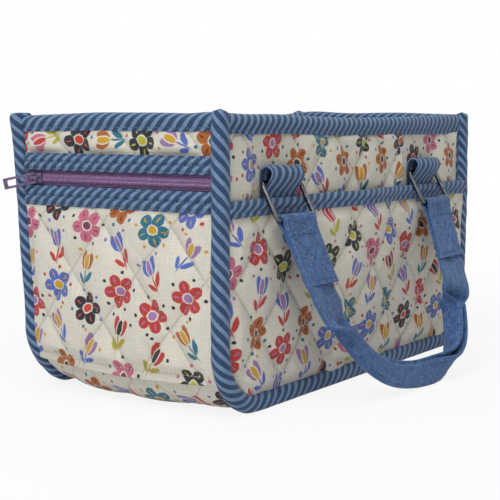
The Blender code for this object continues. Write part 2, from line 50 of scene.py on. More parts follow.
pivots = {}  # hinge points of the rings and handles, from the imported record
for joint in frame["record"]["behaviour"]["joints"]:
    pivots[joint["name"]] = Vector(joint.get("pos_m", (0, 0, 0)))

bag = {  # metres; the rest is read from the nodes' boxes
    "cornerRadius": 0.048,
    "seat": 0.0003,  # gap that the solids keep between layers
    "wall": 0.0023,  # binding stands this far out from the quilted wall
    "liningIn": 0.0086,
    "underRim": 0.004,  # the walls stop this far below the rim's top
    "station": 0.0025,  # spacing of the sections along a straight binding
}
sideNames = {-1: "front", 1: "back"}
seamLow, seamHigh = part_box("front_seam_binding")
halfLength = seamHigh.x
halfDepth = -seamLow.y
rimLow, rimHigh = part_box("front_rim_binding")
rimTop = rimHigh.z
rimHeight = rimHigh.z - rimLow.z
panelFace = -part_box("front_panel")[0].y
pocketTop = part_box("front_pocket_binding")[1].z
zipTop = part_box("zip_band_lower")[0].z
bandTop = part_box("zip_band_upper")[1].z
tabCentres = {}
for end, endName in ((-1, "left"), (1, "right")):
    tabLow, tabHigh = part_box("front_" + endName + "_tab")
    tabCentres[end] = (tabLow.x + tabHigh.x) / 2


def eased(share):
    share = min(1.0, max(0.0, share))
    return share * share * (3.0 - 2.0 * share)


def past(value, start, run):
    # 0 up to start, then rising to 1 over run
    return eased((value - start) / run)


def short(value, stop, run):
    # 1 well below stop, falling to 0 at it
    return eased((stop - value) / run)


def mixed(low, high, share):
    return low + (high - low) * share


def ink(hexColour):
    # sRGB hex to the linear colour that a shader socket takes
    parts = [int(hexColour[place:place + 2], 16) / 255.0 for place in (1, 3, 5)]
    linear = [part / 12.92 if part <= 0.04045 else ((part + 0.055) / 1.055) ** 2.4 for part in parts]
    return (*linear, 1.0)


def connect(tree, node, values):
    # a value is a constant for the socket, or what is linked to it: a socket, or a node's first live output
    for socket, value in values.items():
        if isinstance(value, bpy.types.Node):
            value = next(output for output in value.outputs if output.enabled)
        if isinstance(value, bpy.types.NodeSocket):
            tree.links.new(value, node.inputs[socket])
        else:
            node.inputs[socket].default_value = value
    return node


def addNode(tree, kind, values, **settings):
    node = tree.nodes.new("ShaderNode" + kind)
    for key, value in settings.items():
        setattr(node, key, value)
    return connect(tree, node, values)


def newFinish(name):
    finish = bpy.data.materials.new(name)
    finish.use_nodes = True
    return finish, finish.node_tree, finish.node_tree.nodes["Principled BSDF"]


def weave(tree, design):
    # the piece's own flat-cloth map in mm, its uneven threads both ways, and how far each thread stands out
    metres = addNode(tree, "UVMap", {}, uv_map="cloth")
    flat = addNode(tree, "VectorMath", {0: metres, "Scale": 1000.0}, operation="SCALE")
    pitch, run = 1.0 / design["thread"], 1.0 / design["slub"]
    across = addNode(tree, "Mapping", {"Vector": flat, "Scale": (run, pitch, 1.0)})
    along = addNode(tree, "Mapping", {"Vector": flat, "Scale": (pitch, run, 1.0)})
    weft = addNode(tree, "TexNoise", {"Vector": across, "Scale": 1.0, "Detail": 3.0})
    warp = addNode(tree, "TexNoise", {"Vector": along, "Scale": 1.0, "Detail": 3.0})
    threads = addNode(tree, "Math", {0: weft, 1: warp}, operation="MAXIMUM")
    low, high = design["fine"]
    fine = addNode(tree, "MapRange", {"Value": threads, "From Min": low, "From Max": high})
    return flat, threads, fine


def clouded(tree, flat, scale, detail, low, high):
    # large soft patches that are a little darker or lighter
    cloud = addNode(tree, "TexNoise", {"Vector": flat, "Scale": scale, "Detail": detail})
    return addNode(tree, "MapRange", {
        "Value": cloud, "From Min": 0.3, "From Max": 0.7, "To Min": low, "To Max": high,
    })


# Screen-printed cotton canvas, plain weave: matt, with slubs in the cloth and slightly unsteady ink edges.
# The flowers are a plain tossed layout of five-petal blossoms and tulips, turned this way and that.
printDesign = {
    "cell": (31.0, 30.0),  # mm between flowers, every second column dropped by half
    "lean": 0.75,  # most that a flower turns either way, in radians
    "shake": 1.5,  # mm by which the ink wanders
    "bleed": 0.22,  # mm of soft edge
    "ground": ("#d9d5c8", "#cfcabc"),
    "petals": ("#276a80", "#b23830", "#1f222a", "#a85c26", "#4f66b0", "#be667e", "#1f222a"),
    "centres": ("#c3982a", "#9c76aa", "#c53e31", "#1f222a", "#c59a2a", "#6a3550", "#b5ae30"),
    "beads": ("#c3982a", "#1f222a", "#4f66b0", "#276a80", "#b23830", "#1f222a", "#be667e"),
    "tulips": ("#be667e", "#a85c26", "#4f66b0", "#b23830", "#9470a0"),
    "hearts": ("#b23830", "#c3982a", "#9470a0", "#1f222a", "#c3982a"),
    "leaves": ("#aca62e", "#276a80", "#b23830", "#a89a2e", "#4f66b0"),
    # motif, its point, centre and radii of an oval in mm, tilt in degrees, and ink; in printing order
    "layers": (
        ("blossom", "folded", (7.6, 0.0), (4.9, 4.3), 0, "petals"),
        ("blossom", "turned", (0.0, 0.0), (3.9, 3.9), 0, "bare"),
        ("blossom", "turned", (0.0, 0.0), (3.0, 3.0), 0, "centres"),
        ("blossom", "folded", (8.4, 0.0), (2.2, 0.55), 0, "centres"),
        ("blossom", "folded", (11.2, 8.2), (1.35, 1.35), 0, "beads"),
        ("tulip", "turned", (0.0, -7.0), (0.6, 8.0), 0, "leaves"),
        ("tulip", "turned", (3.9, -6.4), (1.9, 5.4), -32, "leaves"),
        ("tulip", "turned", (-3.3, -9.4), (1.6, 4.4), 34, "leaves"),
        ("tulip", "mirrored", (3.1, 4.8), (2.9, 6.8), -15, "tulips"),
        ("tulip", "turned", (0.0, 4.2), (3.1, 6.7), 0, "bare"),
        ("tulip", "turned", (0.0, 4.0), (2.3, 5.9), 0, "hearts"),
        ("tulip", "mirrored", (9.6, 10.5), (1.3, 1.3), 0, "hearts"),
    ),
    "thread": 0.8, "slub": 14.0, "fine": (0.42, 0.75),  # mm; real threads are about 0.4, too fine to show
    "linePitch": 47.0,  # mm between the sewn lines of the quilting
    "valley": 1.3,  # mm from a sewn line to where the painted shade ends and the cloth is in full light
    # how dark the painted shade in each sewn line gets
    "paintedValleyShade": 0.82,
}


def makePrintedCotton():
    finish, tree, shader = newFinish("screenPrintedCotton")
    flat, threads, fine = weave(tree, printDesign)
    bleed = addNode(tree, "TexNoise", {"Vector": flat, "Scale": 0.35, "Detail": 3.0})
    shake = addNode(tree, "VectorMath", {0: bleed.outputs["Color"], 1: (0.5, 0.5, 0.5)}, operation="SUBTRACT")
    shake = addNode(tree, "VectorMath", {0: shake, "Scale": printDesign["shake"]}, operation="SCALE")
    flowing = addNode(tree, "VectorMath", {0: flat, 1: shake}, operation="ADD")
    place = addNode(tree, "SeparateXYZ", {0: flowing})
    # each flower's cell, and a random number of its own
    wide, tall = printDesign["cell"]
    columnAt = addNode(tree, "Math", {0: place.outputs["X"], 1: wide}, operation="DIVIDE")
    column = addNode(tree, "Math", {0: columnAt}, operation="FLOOR")
    odd = addNode(tree, "Math", {0: column, 1: 2.0}, operation="FLOORED_MODULO")
    rowAt = addNode(tree, "Math", {0: place.outputs["Y"], 1: tall}, operation="DIVIDE")
    rowAt = addNode(tree, "Math", {0: odd, 1: 0.5, 2: rowAt}, operation="MULTIPLY_ADD")
    row = addNode(tree, "Math", {0: rowAt}, operation="FLOOR")
    key = addNode(tree, "CombineXYZ", {"X": column, "Y": row, "Z": 3.0})
    chance = addNode(tree, "TexWhiteNoise", {"Vector": key}, noise_dimensions="3D")
    chances = addNode(tree, "SeparateColor", {0: chance.outputs["Color"]})
    inX = addNode(tree, "Math", {0: columnAt, 1: column}, operation="SUBTRACT")
    inX = addNode(tree, "Math", {0: inX, 1: wide, 2: -wide / 2}, operation="MULTIPLY_ADD")
    inY = addNode(tree, "Math", {0: rowAt, 1: row}, operation="SUBTRACT")
    inY = addNode(tree, "Math", {0: inY, 1: tall, 2: -tall / 2}, operation="MULTIPLY_ADD")
    inCell = addNode(tree, "CombineXYZ", {"X": inX, "Y": inY})
    lean = addNode(tree, "Math", {
        0: chances.outputs[2], 1: 2.0 * printDesign["lean"], 2: -printDesign["lean"],
    }, operation="MULTIPLY_ADD")
    turned = addNode(tree, "VectorRotate", {"Vector": inCell, "Angle": lean}, rotation_type="Z_AXIS")
    spot = addNode(tree, "SeparateXYZ", {0: turned})
    # five petals: the angle is folded into one fifth of a turn
    angle = addNode(tree, "Math", {0: spot.outputs["Y"], 1: spot.outputs["X"]}, operation="ARCTAN2")
    fold = addNode(tree, "Math", {0: angle, 1: math.pi / 5, 2: -math.pi / 5}, operation="WRAP")
    reach = addNode(tree, "VectorMath", {0: turned}, operation="LENGTH")
    foldX = addNode(tree, "Math", {0: fold}, operation="COSINE")
    foldX = addNode(tree, "Math", {0: foldX, 1: reach}, operation="MULTIPLY")
    foldY = addNode(tree, "Math", {0: fold}, operation="SINE")
    foldY = addNode(tree, "Math", {0: foldY, 1: reach}, operation="MULTIPLY")
    foldY = addNode(tree, "Math", {0: foldY}, operation="ABSOLUTE")
    sideX = addNode(tree, "Math", {0: spot.outputs["X"]}, operation="ABSOLUTE")
    points = {
        "turned": turned,
        "folded": addNode(tree, "CombineXYZ", {"X": foldX, "Y": foldY}),
        "mirrored": addNode(tree, "CombineXYZ", {"X": sideX, "Y": spot.outputs["Y"]}),
    }
    isTulip = addNode(tree, "Math", {0: row, 1: 2.0}, operation="FLOORED_MODULO")
    isBlossom = addNode(tree, "Math", {0: 1.0, 1: isTulip}, operation="SUBTRACT")
    motifs = {"tulip": isTulip, "blossom": isBlossom}
    # one flat ink for each range of the cell's random number
    pale, deep = (ink(colour) for colour in printDesign["ground"])
    inks = {"bare": pale}
    draws = {"petals": 0, "centres": 0, "beads": 0, "tulips": 1, "hearts": 1, "leaves": 1}
    for part, draw in draws.items():
        inks[part] = addNode(tree, "ValToRGB", {"Fac": chances.outputs[draw]})
        ramp = inks[part].color_ramp
        ramp.interpolation = "CONSTANT"
        while len(ramp.elements) < len(printDesign[part]):
            ramp.elements.new(0.5)
        for place, colour in enumerate(printDesign[part]):
            ramp.elements[place].position = place / len(printDesign[part])
            ramp.elements[place].color = ink(colour)
    colour = addNode(tree, "Mix", {0: fine, 6: deep, 7: pale}, data_type="RGBA")
    for motif, point, centre, radii, tilt, layerInk in printDesign["layers"]:
        local = addNode(tree, "Mapping", {
            "Vector": points[point],
            "Location": (*centre, 0.0),
            "Rotation": (0.0, 0.0, math.radians(tilt)),
            "Scale": (*radii, 1.0),
        }, vector_type="TEXTURE")
        fromCentre = addNode(tree, "VectorMath", {0: local}, operation="LENGTH")
        soft = printDesign["bleed"] / min(radii)
        oval = addNode(tree, "MapRange", {
            "Value": fromCentre, "From Min": 1.0 - soft, "From Max": 1.0 + soft, "To Min": 1.0, "To Max": 0.0,
        })
        cover = addNode(tree, "Math", {0: oval, 1: motifs[motif]}, operation="MULTIPLY")
        colour = addNode(tree, "Mix", {0: cover, 6: colour, 7: inks[layerInk]}, data_type="RGBA")
    # sewn lines of the quilting: painted shade darkens the colour towards each line, as in a narrow valley
    # that the light hardly reaches, and a bump sinks a groove there
    sewn = addNode(tree, "SeparateXYZ", {0: addNode(tree, "UVMap", {}, uv_map="quilt")})
    rising = addNode(tree, "Math", {0: sewn.outputs["X"], 1: 0.5}, operation="PINGPONG")
    falling = addNode(tree, "Math", {0: sewn.outputs["Y"], 1: 0.5}, operation="PINGPONG")
    near = addNode(tree, "Math", {0: rising, 1: falling}, operation="MINIMUM")
    width = printDesign["valley"] / printDesign["linePitch"]
    valley = addNode(tree, "MapRange", {"Value": near, "From Max": width, "To Min": 1.0, "To Max": 0.0},
                     interpolation_type="SMOOTHSTEP")
    # painted shade: the colour darkens towards each sewn line
    shade = addNode(tree, "MapRange", {"Value": valley, "To Min": 1.0, "To Max": printDesign["paintedValleyShade"]})
    worn = addNode(tree, "MapRange", {
        "Value": threads, "From Min": 0.35, "From Max": 0.75, "To Min": 0.93, "To Max": 1.03,
    })
    cloudy = clouded(tree, flat, 0.02, 2.0, 0.96, 1.02)
    tone = addNode(tree, "Math", {0: worn, 1: cloudy}, operation="MULTIPLY")
    # the painted shade of the sewn lines is multiplied into the cloth's own tone
    tone = addNode(tree, "Math", {0: tone, 1: shade}, operation="MULTIPLY")
    colour = addNode(tree, "Mix", {0: 1.0, 6: colour, 7: tone}, data_type="RGBA", blend_type="MULTIPLY")
    relief = addNode(tree, "Math", {0: valley, 1: -1.6, 2: threads}, operation="MULTIPLY_ADD")
    bump = addNode(tree, "Bump", {"Height": relief, "Distance": 0.0004, "Strength": 0.4})
    connect(tree, shader, {
        "Base Color": colour, "Normal": bump, "Roughness": 0.86,
        "Sheen Weight": 0.12, "Sheen Roughness": 0.5,
    })
    return finish


# Yarn-dyed ticking stripe, cut on the bias for the bindings: matt cotton with a soft edge between stripes.
stripeDesign = {
    "period": 6.4,  # mm across the stripes, about 9 along a bias-cut strip
    "wander": 0.9,  # mm by which a stripe strays
    "edge": (0.255, 0.305),  # share of half a period at which dark turns to light
    "dark": ("#27476d", "#1b3452"),
    "light": ("#7b96b8", "#5b7597"),
    "thread": 0.7, "slub": 9.0, "fine": (0.42, 0.75),  # mm, drawn coarser than the real 0.35 so that it shows
}


def makeBiasStripe():
    finish, tree, shader = newFinish("yarnDyedStripe")
    flat, threads, fine = weave(tree, stripeDesign)
    wander = addNode(tree, "TexNoise", {"Vector": flat, "Scale": 0.12, "Detail": 2.0})
    place = addNode(tree, "SeparateXYZ", {0: flat})
    phase = addNode(tree, "Math", {0: wander, 1: stripeDesign["wander"], 2: place.outputs["X"]},
                    operation="MULTIPLY_ADD")
    phase = addNode(tree, "Math", {0: phase, 1: stripeDesign["period"]}, operation="DIVIDE")
    phase = addNode(tree, "Math", {0: phase, 1: 0.5}, operation="PINGPONG")
    low, high = stripeDesign["edge"]
    stripe = addNode(tree, "MapRange", {"Value": phase, "From Min": low, "From Max": high})
    yarns = []
    for pale, deep in (stripeDesign["dark"], stripeDesign["light"]):
        yarns.append(addNode(tree, "Mix", {0: fine, 6: ink(deep), 7: ink(pale)}, data_type="RGBA"))
    colour = addNode(tree, "Mix", {0: stripe, 6: yarns[0], 7: yarns[1]}, data_type="RGBA")
    bump = addNode(tree, "Bump", {"Height": threads, "Distance": 0.0004, "Strength": 0.45})
    connect(tree, shader, {
        "Base Color": colour, "Normal": bump, "Roughness": 0.84,
        "Sheen Weight": 0.1, "Sheen Roughness": 0.5,
    })
    return finish


# Slubby chambray strap cloth: blue warp and pale weft, so fine light and dark flecks run along the strap.
strapDesign = {
    "deep": "#16315b", "pale": "#5d86bf",
    "thread": 0.75, "slub": 7.0, "fine": (0.42, 0.76),  # mm, drawn coarser than real yarn so that it shows
}


def makeChambray():
    finish, tree, shader = newFinish("slubChambray")
    flat, threads, fine = weave(tree, strapDesign)
    cloudy = clouded(tree, flat, 0.06, 3.0, 0.9, 1.06)
    colour = addNode(tree, "Mix", {0: fine, 6: ink(strapDesign["deep"]), 7: ink(strapDesign["pale"])},
                     data_type="RGBA")
    colour = addNode(tree, "Mix", {0: 1.0, 6: colour, 7: cloudy}, data_type="RGBA", blend_type="MULTIPLY")
    bump = addNode(tree, "Bump", {"Height": threads, "Distance": 0.0005, "Strength": 0.5})
    connect(tree, shader, {
        "Base Color": colour, "Normal": bump, "Roughness": 0.85,
        "Sheen Weight": 0.15, "Sheen Roughness": 0.45,
    })
    return finish


# Plain cotton lining, lighter weight than the canvas: fine even weave and a faint sheen.
liningDesign = {"deep": "#5f7699", "pale": "#8196b6", "thread": 0.6, "slub": 18.0, "fine": (0.4, 0.75)}


def makeLiningCotton():
    finish, tree, shader = newFinish("plainCottonLining")
    flat, threads, fine = weave(tree, liningDesign)
    colour = addNode(tree, "Mix", {0: fine, 6: ink(liningDesign["deep"]), 7: ink(liningDesign["pale"])},
                     data_type="RGBA")
    bump = addNode(tree, "Bump", {"Height": threads, "Distance": 0.0003, "Strength": 0.3})
    connect(tree, shader, {
        "Base Color": colour, "Normal": bump, "Roughness": 0.82,
        "Sheen Weight": 0.1, "Sheen Roughness": 0.5,
    })
    return finish


# Finishes on Object coordinates: pale and deep colour, grain in mm, roughness, metallic and grain depth.
plainFinishes = {
    # woven polyester zip tape: fine ribs along the zip, slight shine
    "wovenZipTape": ("#735580", "#402c4b", (0.7, 6.0, 0.55), 0.6, 0.0, 0.5),
    # extruded nylon coil: smooth plastic with a soft gloss
    "nylonCoil": ("#96759f", "#70537b", (1.5, 1.5, 1.5), 0.42, 0.0, 0.1),
    # enamel on die-cast zinc: even gloss with slight orange peel
    "enamelledZinc": ("#6d5a80", "#4b3a5e", (2.5, 2.5, 2.5), 0.34, 0.0, 0.12),
    # gunmetal plate on steel wire: dark mirror with faint handling marks
    "gunmetalPlate": ("#6e7075", "#45474c", (3.0, 3.0, 3.0), 0.2, 1.0, 0.05),
    # cotton sewing thread: cream on the quilting, mid blue on the straps, steel blue on the bindings
    "creamThread": ("#d3cebf", "#aaa597", (0.5, 0.5, 0.5), 0.7, 0.0, 0.3),
    "blueThread": ("#7d97c4", "#5f7aa9", (0.5, 0.5, 0.5), 0.7, 0.0, 0.3),
    "steelBlueThread": ("#7089b0", "#50698f", (0.5, 0.5, 0.5), 0.7, 0.0, 0.3),
    # pressed fibre stiffener board under the lining: dull, with short fibres
    "pressedFibreBoard": ("#8f8676", "#6f6759", (1.2, 1.2, 1.2), 0.9, 0.0, 0.4),
}
roughnessSpread = 0.08


def makePlain(name):
    pale, deep, grain, roughness, metallic, strength = plainFinishes[name]
    finish, tree, shader = newFinish(name)
    place = addNode(tree, "TexCoord", {})
    scale = tuple(1000.0 / size for size in grain)
    grained = addNode(tree, "Mapping", {"Vector": place.outputs["Object"], "Scale": scale})
    speck = addNode(tree, "TexNoise", {"Vector": grained, "Scale": 1.0, "Detail": 3.0})
    share = addNode(tree, "MapRange", {"Value": speck, "From Min": 0.35, "From Max": 0.65})
    colour = addNode(tree, "Mix", {0: share, 6: ink(deep), 7: ink(pale)}, data_type="RGBA")
    spread = addNode(tree, "MapRange", {
        "Value": speck,
        "To Min": max(0.05, roughness - roughnessSpread),
        "To Max": min(1.0, roughness + roughnessSpread),
    })
    bump = addNode(tree, "Bump", {"Height": speck, "Distance": 0.0002, "Strength": strength})
    connect(tree, shader, {"Base Color": colour, "Normal": bump, "Roughness": spread, "Metallic": metallic})
    return finish


finishes = {name: makePlain(name) for name in plainFinishes}
finishes["print"] = makePrintedCotton()
finishes["stripe"] = makeBiasStripe()
finishes["chambray"] = makeChambray()
finishes["lining"] = makeLiningCotton()
print("finishes made:", len(finishes))

slump = {  # metres; a pair is where a change starts or stops, and the run over which it comes in
    "from": 0.180, "longDip": 0.0027, "endLift": 0.0022, "tilt": 0.0014, "waver": 0.0006, "waverRun": 0.045,
    "toLeft": (0.08, 0.11), "toBack": (0.02, 0.06), "toRight": (0.13, 0.06),
    "backSplay": 0.0055, "splayAbove": (0.1, 0.11),
    "backDraw": 0.0042, "drawBelow": (0.125, 0.07),
    "footDraw": 0.0036, "footBelow": (0.05, 0.045),
    "rightSplay": 0.0034, "rightAbove": (0.02, 0.08),
    "cornerLift": 0.0018, "nearLeft": (0.02, 0.08), "nearFront": (0.06, 0.03),
    "farLift": 0.0030, "farSplay": 0.0035,
    "floor": 0.0002, "floorRun": 0.03, "seed": 4,
}
noise.seed_set(slump["seed"])  # noise_vector would start from the clock without it


def settled(point):
    # the rim dips along the long sides and lifts over the ends, and no sewn edge is quite straight
    high = past(point.z, slump["from"], rimTop - slump["from"])
    overLong = 1.0 - min(1.0, (point.x / halfLength) ** 2)
    overEnd = 1.0 - min(1.0, (point.y / halfDepth) ** 2)
    lift = slump["endLift"] * overEnd * (1.0 - overLong) - slump["longDip"] * overLong * (1.0 - overEnd)
    lift += slump["tilt"] * point.x / halfLength
    shake = noise.noise_vector(point / slump["waverRun"]) * slump["waver"]
    # the open top splays at the back left corner, which draws in lower down, and at the right end
    backLeft = past(-point.x, *slump["toLeft"]) * past(point.y, *slump["toBack"])
    shake.y += slump["backSplay"] * backLeft * past(point.z, *slump["splayAbove"])
    shake.y -= slump["backDraw"] * backLeft * short(point.z, *slump["drawBelow"])
    shake.x += slump["footDraw"] * backLeft * short(point.z, *slump["footBelow"])
    right = past(point.x, *slump["toRight"])
    shake.x += slump["rightSplay"] * right * past(point.z, *slump["rightAbove"])
    # two of the corners stand a little higher than the rest
    frontLeft = past(-point.x, *slump["nearLeft"]) * past(-point.y, *slump["nearFront"])
    backRight = right * past(point.y, *slump["toBack"])
    shake.x += slump["farSplay"] * backRight * high
    lift += slump["cornerLift"] * frontLeft + slump["farLift"] * backRight
    level = point.z + high * lift + shake.z * eased(point.z / slump["floorRun"])
    return Vector((point.x + shake.x, point.y + shake.y, max(slump["floor"], level)))


quilt = {  # metres
    "across": 0.062, "up": 0.072, "puff": 0.0052, "valley": 0.0060,
    "ruck": 0.5, "ruckRun": 0.0065, "ruckSeed": 7.1, "ruckFade": 30.0,
    "sideRise": 0.010, "endRise": 0.008,  # run from flat cloth by a binding to full puff
    "lines": 14,  # sewn lines looked for on either side of the start
}


def sewnLines(across, up, start):
    # place among the diamonds' sewn lines, which lie at the whole numbers both ways
    first = (across - start[0]) / quilt["across"]
    second = (up - start[1]) / quilt["up"]
    return first + second, first - second


def quilted(across, up, start):
    # 0 in the sewn lines of the diamonds, near 1 in their middles, with small rucks where the thread pulls
    pitch = 1.0 / math.hypot(1.0 / quilt["across"], 1.0 / quilt["up"])
    rising, falling = sewnLines(across, up, start)
    height = 1.0
    for place, along in ((rising, falling), (falling, rising)):
        line = round(place)
        away = abs(place - line) * pitch
        spot = (along * pitch / quilt["ruckRun"], line * quilt["ruckSeed"], away * quilt["ruckFade"])
        width = quilt["valley"] * (1.0 + quilt["ruck"] * noise.noise(Vector(spot)))
        height *= 1.0 - math.exp(-away / width)
    return height


crownPower = 0.85  # below 1, so that a puff is fuller than an arch


def crowned(place, lines, share):
    # height of cloth that puffs between sewn lines; lines are distances across the strip
    for low, high in zip(lines, lines[1:]):
        if place <= high:
            inside = max(0.0, math.sin(math.pi * (place - low) / (high - low)))
            return share * (high - low) * inside ** crownPower
    return 0.0


def biasCut(along, across, slant, lean=45.0):
    # a strip cut at a slant: where a point of it lies on the striped cloth
    cross = math.sin(math.radians(lean))
    skew = slant * math.cos(math.radians(lean))
    return (along * cross - across * skew, across * cross + along * skew)


weldGap = 0.00001


def clothGrid(columns, rows, place, cut, sewn=None, closed=False):
    # a grid whose points go where place(a, b) says; cut(a, b) is their place on the flat cloth,
    # and sewn(a, b) their place among the sewn lines
    shape = bmesh.new()
    bmesh.ops.create_grid(shape, x_segments=columns, y_segments=rows, size=0.5)
    for name, flatten in (("cloth", cut), ("quilt", sewn)):
        if flatten:
            flat = shape.loops.layers.uv.new(name)
            for face in shape.faces:
                for corner in face.loops:
                    corner[flat].uv = flatten(corner.vert.co.x + 0.5, corner.vert.co.y + 0.5)
    for vert in shape.verts:
        vert.co = place(vert.co.x + 0.5, vert.co.y + 0.5)
    if closed:
        bmesh.ops.remove_doubles(shape, verts=shape.verts, dist=weldGap)
        openEdges = [edge for edge in shape.edges if edge.is_boundary]
        bmesh.ops.holes_fill(shape, edges=openEdges, sides=0)
        bmesh.ops.recalc_face_normals(shape, faces=shape.faces)
    return shape


def routeRuns(points):
    # distance from the first point to each of them
    runs = [0.0]
    for start, stop in zip(points, points[1:]):
        runs.append(runs[-1] + (stop - start).length)
    return runs


def swept(stations, section, place, cut):
    # a closed section of 2D points carried along, with along from 0 to 1: place(along, point) is where a
    # point goes, and cut(along, around) its place on the flat cloth
    count = len(section)
    runs = routeRuns([Vector(point) for point in section] + [Vector(section[0])])

    def placed(a, b):
        return place(a, section[round(b * count) % count])

    def cutAt(a, b):
        return cut(a, runs[round(b * count)])

    return clothGrid(stations, count, placed, cutAt, closed=True)


def finished(shape, name, body, finish, nodes=()):
    mesh = bpy.data.meshes.new(name)
    shape.to_mesh(mesh)
    shape.free()
    mesh.materials.append(finishes[finish])
    mesh.shade_smooth()
    piece = bpy.data.objects.new(name, mesh)
    bpy.context.scene.collection.objects.link(piece)
    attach(piece, body)
    if nodes:
        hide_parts(*nodes)
    return piece


def thickened(piece, thickness):
    solid = piece.modifiers.new("clothThickness", "SOLIDIFY")
    solid.thickness = thickness
    solid.offset = -1.0
    return piece


stitch = {  # metres
    "length": 0.0025, "gap": 0.0010, "thread": 0.0007, "lift": 0.0002,
    "probe": 0.0005, "step": 0.002,  # spacing for finding a surface's slope, and of the points of a row
}


def sewRow(shape, route):
    # stitches along route, a list of (point, outward normal)
    length = stitch["length"]
    travelled = 0.0
    due = stitch["gap"]
    for (start, normal), (end, nextNormal) in zip(route, route[1:]):
        span = end - start
        while travelled + span.length >= due + length / 2:
            share = (due + length / 2 - travelled) / max(span.length, 1e-9)
            up = normal.lerp(nextNormal, share).normalized()
            ahead = (span - up * span.dot(up)).normalized()
            side = up.cross(ahead)
            turn = Matrix((ahead, side, up)).transposed().to_4x4()
            spot = Matrix.Translation(start.lerp(end, share) + up * stitch["lift"])
            bead = Matrix.Diagonal((length / 2, stitch["thread"] / 2, stitch["thread"] / 2, 1.0))
            bmesh.ops.create_icosphere(shape, subdivisions=1, radius=1.0, matrix=spot @ turn @ bead)
            due += length + stitch["gap"]
        travelled += span.length


def surfaceRoute(surface, spots):
    # points of a surface with normals found from its own slope
    route = []
    for u, v in spots:
        here = surface(u, v)
        normal = (surface(u + stitch["probe"], v) - here).cross(surface(u, v + stitch["probe"]) - here)
        route.append((here, normal.normalized()))
    return route


def quiltRows(shape, surface, start, inside, low, high):
    # cream stitches down every sewn line of the diamonds between two heights
    slope = quilt["up"] / quilt["across"]
    for lean in (1, -1):
        for line in range(-quilt["lines"], quilt["lines"] + 1):
            spots = []
            for index in range(int((high - low) / stitch["step"]) + 1):
                up = low + index * stitch["step"]
                across = start[0] + line * quilt["across"] + lean * (up - start[1]) / slope
                if inside(across, up):
                    spots.append((across, up))
            if len(spots) > 3:
                sewRow(shape, surfaceRoute(surface, spots))


def outlineAt(run, inset, top):
    # U-shaped outline of the long sides, from the right top round the base to the left top: x, z and normal
    corner = bag["cornerRadius"]
    radius = corner - inset
    side = top - corner
    bend = radius * math.pi / 2
    mid = halfLength - corner
    if run < side:
        return halfLength - inset, top - run, 1.0, 0.0
    run -= side
    if run < bend:
        turn = run / radius
        outX, outZ = math.cos(turn), -math.sin(turn)
        return mid + radius * outX, corner + radius * outZ, outX, outZ
    run -= bend
    if run < 2.0 * mid:
        return mid - run, inset, 0.0, -1.0
    run -= 2.0 * mid
    if run < bend:
        turn = run / radius
        outX, outZ = -math.sin(turn), -math.cos(turn)
        return radius * outX - mid, corner + radius * outZ, outX, outZ
    return inset - halfLength, corner + run - bend, -1.0, 0.0


def outlineLength(inset, top):
    radius = bag["cornerRadius"] - inset
    return 2.0 * (top - bag["cornerRadius"]) + radius * math.pi + 2.0 * (halfLength - bag["cornerRadius"])


def halfWidthAt(z, inset):
    drop = bag["cornerRadius"] - z
    radius = bag["cornerRadius"] - inset
    if drop <= 0.0:
        return halfLength - inset
    return halfLength - bag["cornerRadius"] + math.sqrt(max(0.0, radius * radius - drop * drop))


def makeQuilted(node, layer, spot, surface, sewn, cut):
    # a padded piece whose points, sewn lines and place on the printed cloth all go by spot(a, b)
    shape = clothGrid(layer["columns"], layer["rows"], lambda a, b: surface(*spot(a, b)),
                      lambda a, b: cut(*spot(a, b)), lambda a, b: sewn(*spot(a, b)))
    piece = finished(shape, node + "_quilted", "bag", "print", [node])
    thickened(piece, layer["thickness"])


# long sides: quilted panel, slip pocket and lining
panel = {
    "rows": 130, "columns": 250, "low": 0.0055, "inset": 0.0055, "thickness": 0.0042, "fill": 0.35,
    "print": {-1: (0.012, 0.006), 1: (0.205, 0.113)},
    "quiltStart": {-1: (0.055, 0.165), 1: (0.02, 0.1)},
    "cover": 0.010, "rimCover": 0.011, "setBack": 0.0006,
    "tabClear": (0.026, 0.010), "tabBelow": (0.200, 0.01),  # flat room behind the tabs for the rings to swing
}
pocket = {
    "rows": 110, "columns": 280, "low": 0.0075, "inset": 0.0075, "thickness": 0.0014, "fill": 0.3,
    "print": {-1: (-0.021, 0.019), 1: (0.33, 0.07)},
    "quiltStart": {-1: (0.0115, 0.090), 1: (0.0, 0.08)},
    "cover": 0.010, "hem": 0.001, "footIn": 0.0105, "topIn": 0.0016,
    "gape": 0.009, "tabGape": 0.0043, "held": 0.0747, "shift": -0.006,
}
mouth = {  # folded binding of the pocket mouth
    "ridge": 0.0036, "height": 0.0117, "puff": 0.24, "leg": 0.0010, "sideIn": 0.0115, "tuck": 0.004,
    "fold": 0.0012, "crown": 0.0014, "puffIn": 0.0006, "slotTop": 0.0016, "threadIn": 0.0005,
    "legSteps": 5, "overSteps": 6, "bandSteps": 14,
    "lump": 0.12, "lumpRate": (60.0, 50.0), "dip": 0.0008, "dipRate": 14.0, "dipSeed": 5.0,
}
lining = {
    "sideCells": (90, 50), "stripCells": (50, 220), "thickness": 0.0006, "low": 0.0115, "topIn": 0.003,
    "ripple": 0.0007, "sideRate": (24.0, 14.0), "stripRate": (40.0, 14.0), "overBoard": 0.0016,
}


def mouthGape(x):
    # the pocket hangs open most between the tabs
    free = max(0.0, 1.0 - ((x - pocket["shift"]) / pocket["held"]) ** 2)
    return pocket["tabGape"] + (pocket["gape"] - pocket["tabGape"]) * free * free


def panelSurface(side, across, up):
    edge = min((halfWidthAt(up, 0.0) - abs(across) - panel["cover"]) / quilt["sideRise"],
               (rimTop - panel["rimCover"] - up) / quilt["endRise"])
    puff = quilt["puff"] * quilted(across, up, panel["quiltStart"][side]) * eased(edge)
    nearTab = min(abs(-side * across - centre) for centre in tabCentres.values())
    puff *= 1.0 - (1.0 - past(nearTab, *panel["tabClear"])) * short(up, *panel["tabBelow"])
    out = panelFace - panel["setBack"] + puff
    return settled(Vector((-side * across, side * out, up)))


